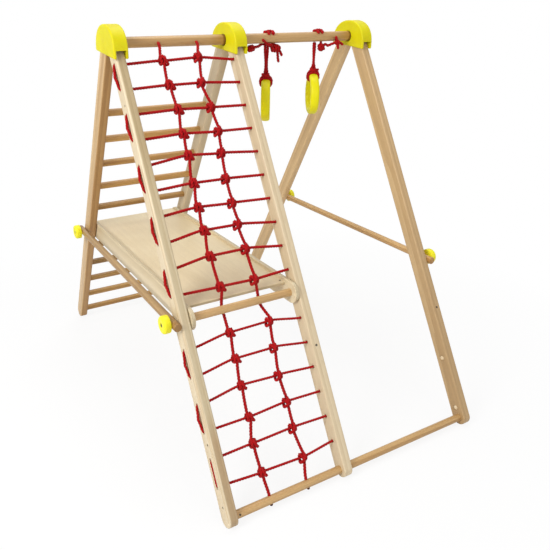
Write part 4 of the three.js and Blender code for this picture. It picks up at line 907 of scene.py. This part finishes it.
def make_round_bars():
    left = LEFT_X + HALF_LEG - LEG_SOCKET, MIDDLE_X - HALF_LEG + LEG_SOCKET
    right = MIDDLE_X + HALF_LEG - LEG_SOCKET, RIGHT_X - HALF_LEG + LEG_SOCKET
    # Painted shade: each rung's wood is scaled by its tone, darkest for the rungs around and under the platform.
    shade_tones = 1.0, 1.04, 0.96, 1.02, 0.8, 0.74, 0.64, 0.82, 0.9, 0.94
    for number, tone in enumerate(shade_tones, 1):
        # The sixth place stays empty for the platform.
        drop = FIRST_RUNG + (number - (number < 6)) * RUNG_PITCH
        name = f"rear_rung_{number}"
        colors = shaded(RUNG, tone)
        round_bar(name + "_bar", name, left, 0, -drop, REAR, "rear_frame", number * 1.7, colors=colors)
    for place, ends, matrix, body, seed in (
        ("right_rear", right, REAR, "rear_frame", 23),
        ("left", left, FRONT, "front_frame", 29),
        ("right", right, FRONT, "front_frame", 31),
    ):
        round_bar(f"{place}_dowel_bar", f"{place}_bottom_dowel", ends, 0, -LEG_LENGTH, matrix, body, seed)
    seat = CAP_HALF_WIDTH - CAP_SOCKET
    for name, x0, x1, seed, inward in (
        ("left_top_bar", LEFT_X, MIDDLE_X, 37, 1),
        ("right_top_bar", MIDDLE_X, RIGHT_X, 41, -1),
    ):
        # Painted shade towards the cap at its right end, and a painted shadow, darkest, just before it.
        face = abs(x1) + inward * CAP_HALF_WIDTH
        painted_shades = (
            ((0.84, 0.74, 0.6, 1), 0, face + inward * 60, face + inward * 14, *AT_ALL_HEIGHTS),
            ((0.5, 0.38, 0.26, 1), 0, face + inward * 8, face + inward * 3, *AT_ALL_HEIGHTS),
        )
        ends, z = (x0 + seat, x1 - seat), TOP_BAR_HEIGHT + 1.2
        round_bar(name + "_bar", name, ends, -3, z, WORLD, "front_frame", seed, TOP_BAR_RADIUS, painted_shades=painted_shades)
    lead = HALF_LEG + BOARD_GAP + BOARD_THICKNESS - BOARD_SOCKET
    for name, y, seed in (("platform_front_dowel", 0, 43), ("platform_rear_dowel", PLATFORM_SPAN, 47)):
        round_bar(name + "_bar", name, (LEFT_X + lead, MIDDLE_X - lead), y, 0, PLATFORM, "platform", seed)


def rod(node, body, material, edge):
    """A steel rod, as long as its node."""
    low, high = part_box(node)
    centre = (low + high) / 2 / MM
    mesh = lathe(eased(low.x / MM, high.x / MM, BOLT_RADIUS, edge), centre.y, centre.z, 32)
    finish_mesh(node + "_rod", mesh, body, "steel", material, node)


# Caps.
def dome(half_depth, rise, steps=64):
    """The outline of a cap's roof, from front to rear."""
    points = []
    power = 2 / 2.2
    for share in shares(steps):
        across, up = cos(pi * share), sin(pi * share)
        points.append((-half_depth * copysign(abs(across) ** power, across), CAP_SPRING + rise * max(up, 0) ** power))
    return points


def cap(side, x, bar_sides):
    """A hollow cap over a pair of legs, with a socket for each top bar that it holds."""
    rise, depth = CAP_TOP - CAP_SPRING, CAP_HALF_DEPTH
    outline = dome(depth, rise)
    outline += [(depth - 0.5, CAP_MOUTH - 4), (depth - 3, CAP_MOUTH - 6), (6 - depth, CAP_SKIRT + 0.2)]
    outline += [(2 - depth, CAP_SKIRT + 0.8), (-depth, CAP_SKIRT + 4)]
    shell = plate(outline, x - CAP_HALF_WIDTH, x + CAP_HALF_WIDTH, 4.4, WORLD, 6)
    inside = x - CAP_CAVITY, x + CAP_CAVITY
    mouth = [(-95, 1140), (95, 1140), (95, CAP_MOUTH), (-95, CAP_MOUTH)]
    cutters = [plate(hollow, *inside, 0) for hollow in (dome(depth - CAP_WALL, rise - CAP_WALL, 40), mouth)]
    for direction in bar_sides:
        face = x + direction * CAP_HALF_WIDTH
        cutters.append(cylinder(face - 5, face + 5, -2, TOP_BAR_HEIGHT, TOP_BAR_RADIUS + 2.6, 64))
    boss = cylinder(inside[0] - 0.3, inside[1] + 0.3, 0, TOP_BAR_HEIGHT, 8)
    mesh = joined([carve(shell, cutters), boss])
    name = f"{side}_cap"
    finish_mesh(name + "_shell", mesh, "front_frame", "yellow_plastic", yellow, name, angle=32, weighted=True)
    for part in ("tie_stud", "front_pin", "rear_pin"):
        rod(f"{side}_{part}", "front_frame", steel, 0.6)


# Platform.
def make_platform():
    lead = HALF_LEG + BOARD_GAP
    right = MIDDLE_X - lead - BOARD_THICKNESS
    for name, x, seed in (("platform_left_board", LEFT_X + lead, 51), ("platform_right_board", right, 53)):
        outline = stadium(BOARD_RADIUS, 0, 0, PLATFORM_SPAN, 0, 32)
        mesh = plate(outline, x, x + BOARD_THICKNESS, 1.4, PLATFORM)
        material = wood(name + "_wood", PLY, ALONG_Y, seed, layers=(0, 2.6))
        finish_mesh(name + "_panel", mesh, "platform", "plywood", material, name, weighted=True)
    front, rear = DECK_FRONT + DECK_EDGE, DECK_REAR - DECK_EDGE
    bottom, top = DECK_BOTTOM + DECK_EDGE, DECK_TOP - DECK_EDGE
    outline = []
    for quarter, (y, z) in enumerate(((rear, top), (front, top), (front, bottom), (rear, bottom))):
        outline += arc(y, z, DECK_EDGE, quarter * pi / 2, (quarter + 1) * pi / 2, 4)
    low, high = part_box("platform_deck")
    mesh = plate(outline, low.x / MM, high.x / MM, 0, PLATFORM)
    colors = toned(PLY[0], 1.06), toned(PLY[1], 1.1)
    material = wood("platform_deck_wood", colors, ALONG_Y, 57, 0.42, (2, 2.0), True)
    finish_mesh("platform_deck_panel", mesh, "platform", "plywood", material, "platform_deck", weighted=True)


# Stays, knobs, bolts and small screws.
def screw(name, body, centre, direction, radius):
    """A flush screw head with a hexagon recess, its face turned along the direction."""
    axis, side, other = axes_of(direction)
    sides = 36
    profile = [(-1.05, 0.35), (0.35, 0.35), (0.35, 0.8), (0.1, 1), (-1.2, 1)]
    vertices = []
    for out, wide in profile:
        for k in range(sides):
            turn = 2 * pi * k / sides
            hexagon = cos(pi / 6) / cos(turn % (pi / 3) - pi / 6) if wide < 0.5 else 1.0
            around = cos(turn) * side + sin(turn) * other
            vertices.append((centre + axis * out + radius * wide * hexagon * around) * MM)
    last = len(vertices) - sides
    faces = [*bands(len(profile), sides), tuple(range(sides)), tuple(range(last, last + sides))]
    finish_mesh(name, mesh_of(vertices, faces), body, "steel", dark_steel, angle=30)


def stay(side, x, tone, seed):
    """A round bar beside the legs, with an open slot for the rear bolt."""
    matrix = PLATFORM @ Matrix.Translation((x, 0, 0)) @ Matrix.Rotation(pi / 2, 4, "Z")
    bar = lathe(eased(-38, PLATFORM_SPAN + 38, BAR_RADIUS, 2.6, 6), 0, 0, 56, matrix)
    lean = radians(33)
    slot = stadium(4.7, PLATFORM_SPAN, 0, PLATFORM_SPAN - 40 * sin(lean), -40 * cos(lean), 12)
    bar = carve(bar, [plate(slot, x - 20, x + 20, 0, PLATFORM)])
    # Painted shade: both ends of the stay, beyond the legs, are darker.
    painted_shade_end = ((0.78, 0.66, 0.45, 1), 1, PLATFORM_REACH + 8, PLATFORM_REACH + 24, *AT_ALL_HEIGHTS)
    name = f"{side}_stay"
    material = wood(name + "_wood", shaded(ROUND, tone), ALONG_Y, seed, 0.55, painted_shades=(painted_shade_end,))
    finish_mesh(name + "_bar", bar, name, "round_wood", material, name)


def knob(node, x, sign, y):
    """A round knob with a screw in its outer face."""
    edge = arc(KNOB_THICKNESS - KNOB_ROUND, KNOB_RADIUS - KNOB_ROUND, KNOB_ROUND, pi / 2, 0, 8)
    profile = [(0, 0), (0, 23.4), (0.7, 25.2), (2.2, KNOB_RADIUS), *edge]
    profile += [(KNOB_THICKNESS - sunk, radius) for sunk, radius in ((0, 7.5), (0.6, 6.2), (3.5, 5.6), (3.5, 0))]
    mesh = lathe([(x + sign * out, radius) for out, radius in profile], y, 0, 72, PLATFORM)
    finish_mesh(node + "_body", mesh, node, "yellow_plastic", knob_yellow, node, angle=30)
    centre = PLATFORM @ Vector((x + sign * (KNOB_THICKNESS - 1.2), y, 0))
    screw(node + "_socket", node, centre, (sign, 0, 0), 5.4)


def middle_bolt(node, body, y):
    """A bolt with a domed head in the ring bay."""
    low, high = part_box(node)
    tip, far = low.x / MM, high.x / MM
    face = MIDDLE_X + HALF_LEG + 0.3
    profile = [(tip, 0), (tip, 3.4), (tip + 0.6, BOLT_RADIUS), (face, BOLT_RADIUS), (face, 7.2), (face + 0.5, 7.5)]
    for share in shares(6):
        angle = pi / 2 * share
        profile.append((face + 1.5 + 3.4 * sin(angle), 2.6 + 4.8 * cos(angle)))
    profile += [(far - 0.1, 2.2), (far - 2.4, 2.0), (far - 2.4, 0)]
    finish_mesh(node + "_head", lathe(profile, y, 0, 48, PLATFORM), body, "steel", steel, node, angle=30)


def make_fittings():
    # The two stays are lit and shaded copies of one wood: the left one darkened as painted shade, the right one
    # lightened as painted light.
    for side, sign, leg_x, tone in (("left", -1, LEFT_X, 0.74), ("right", 1, RIGHT_X, 1.08)):
        face = leg_x + sign * (HALF_LEG + STAY_GAP)
        stay(side, face + sign * BAR_RADIUS, tone, 61 + sign)
        for place, y in (("front", 0), ("rear", PLATFORM_SPAN)):
            knob(f"{side}_{place}_knob", face + sign * (2 * BAR_RADIUS + 0.3), sign, y)
            rod(f"{side}_{place}_bolt", place + "_frame", dark_steel, 0.7)
    middle_bolt("middle_front_bolt", "front_frame", 0)
    middle_bolt("middle_rear_bolt", "rear_frame", PLATFORM_SPAN)


def make_screws():
    """Small screws and inserts that show on the wood."""
    turn = FRONT.to_3x3()
    outer, ahead = turn @ Vector((-1, 0, 0)), turn @ Vector((0, -1, 0))
    for index, drop in enumerate(INSERT_DROPS, 1):
        centre = in_front(LEFT_X - HALF_LEG + 1.2, INSERT_BACK, drop)
        screw(f"left_leg_insert_{index}", "front_frame", centre, outer, 3.65)
    for side, x in (("middle", MIDDLE_X), ("right", RIGHT_X)):
        screw(f"{side}_leg_screw", "front_frame", in_front(x, LEG_RADIUS + 0.1, 974), ahead, 3.6)
    centre = in_front(LEFT_X + HALF_LEG + 12, BAR_RADIUS + 0.1, LEG_LENGTH)
    screw("left_dowel_screw", "front_frame", centre, ahead, 3)
    centre = PLATFORM @ Vector((MIDDLE_X - HALF_LEG - 22, 44, DECK_TOP + 0.1))
    screw("deck_screw", "platform", centre, (0, 0, 1), 3)


# Rings.
def ring(name, x, height, turn):
    """A ring with slightly squared sides, and two turns of its rope round the rim."""
    place = Matrix.Translation((x, 0, height)) @ Matrix.Rotation(-radians(turn), 4, "Z")
    around, across = 128, 40
    vertices = []
    for i in range(around):
        a = 2 * pi * i / around
        for k in range(across):
            b = 2 * pi * k / across
            square = (1 - 0.06 * cos(4 * b)) / 0.94
            radius = RING_RADIUS + RING_HALF_DEPTH * square * cos(b)
            width = RING_HALF_WIDTH * square * sin(b)
            vertices.append(place @ Vector((width, radius * cos(a), radius * sin(a))) * MM)
    mesh = mesh_of(vertices, bands(around, across, closed=True))
    finish_mesh(name + "_hoop", mesh, name, "ring_plastic", ring_yellow, name, angle=60)
    turns = []
    for side in (-1, 1):
        points = []
        for i in range(33):
            angle = -0.5 * pi + 2 * pi * i / 32.6
            out, up = (RING_HALF_WIDTH + 3.9) * cos(angle), (RING_HALF_DEPTH + 4.0) * sin(angle)
            points.append(place @ Vector((out, side * (8 - 2 * cos(angle)), RING_RADIUS - 0.6 + up)))
        turns.append(smooth_route(points, 1.4))
    rope_piece(name + "_turns", name + "_rope", turns, [ROPE_RADIUS])


make_legs()
make_round_bars()
cap("left", LEFT_X, (1,))
cap("middle", MIDDLE_X, (-1, 1))
cap("right", RIGHT_X, (-1,))
make_platform()
make_fittings()
ring("ring_left", *LEFT_RING, 33)
ring("ring_right", *RIGHT_RING, 26.8)
make_screws()


# Stage and light.
def make_floor():
    """A grey floor that fades to the white background away from the object."""
    corners = [(-12, -12, 0), (12, -12, 0), (12, 12, 0), (-12, 12, 0)]
    floor = add_object("floor", mesh_of(corners, [(0, 1, 2, 3)], closed=False))
    floor.location.z = -0.0006
    material = bpy.data.materials.new("floor")
    floor.data.materials.append(material)
    nodes = Nodes(material)
    distance = nodes.add("VectorMath", nodes.add("TexCoord").outputs["Object"], operation="LENGTH")
    fade = nodes.span(distance.outputs["Value"], 0.75, 1.7, 0.86, 1.0)
    share = nodes.times(nodes.add("LightPath").outputs["Is Camera Ray"], fade)
    diffuse = nodes.add("BsdfDiffuse", (0.86, 0.86, 0.86, 1))
    glow = nodes.add("Emission", (1, 1, 1, 1))
    nodes.add("OutputMaterial", nodes.add("MixShader", share, diffuse, glow))


def make_world():
    """A soft sky that looks white to the camera and in reflections."""
    scene.world = bpy.data.worlds.new("studio")
    nodes = Nodes(scene.world)
    soft = nodes.add("Background", (1, 0.99, 0.975, 1), 0.52)
    white = nodes.add("Background", (1, 1, 1, 1), 1.0)
    rays = nodes.add("LightPath").outputs
    share = nodes.math("MAXIMUM", rays["Is Camera Ray"], rays["Is Glossy Ray"])
    share = nodes.math("MAXIMUM", share, rays["Is Transmission Ray"])
    nodes.add("OutputWorld", nodes.add("MixShader", share, soft, white))


def make_lamp(name, place, size, power):
    data = bpy.data.lights.new(name, "AREA")
    data.shape, data.size, data.energy = "DISK", size, power
    lamp = add_object(name, data)
    lamp.location = place
    lamp.rotation_euler = (Vector((0, 0, 0.55)) - Vector(place)).to_track_quat("-Z", "Y").to_euler()


make_floor()
make_world()
make_lamp("key", (-2.7, -1.0, 2.3), 1.6, 66)
make_lamp("front", (-0.4, -3.6, 2.0), 2.4, 20)
make_lamp("above", (0.5, 0.6, 4.0), 2.4, 48)
scene.view_settings.view_transform = "Standard"
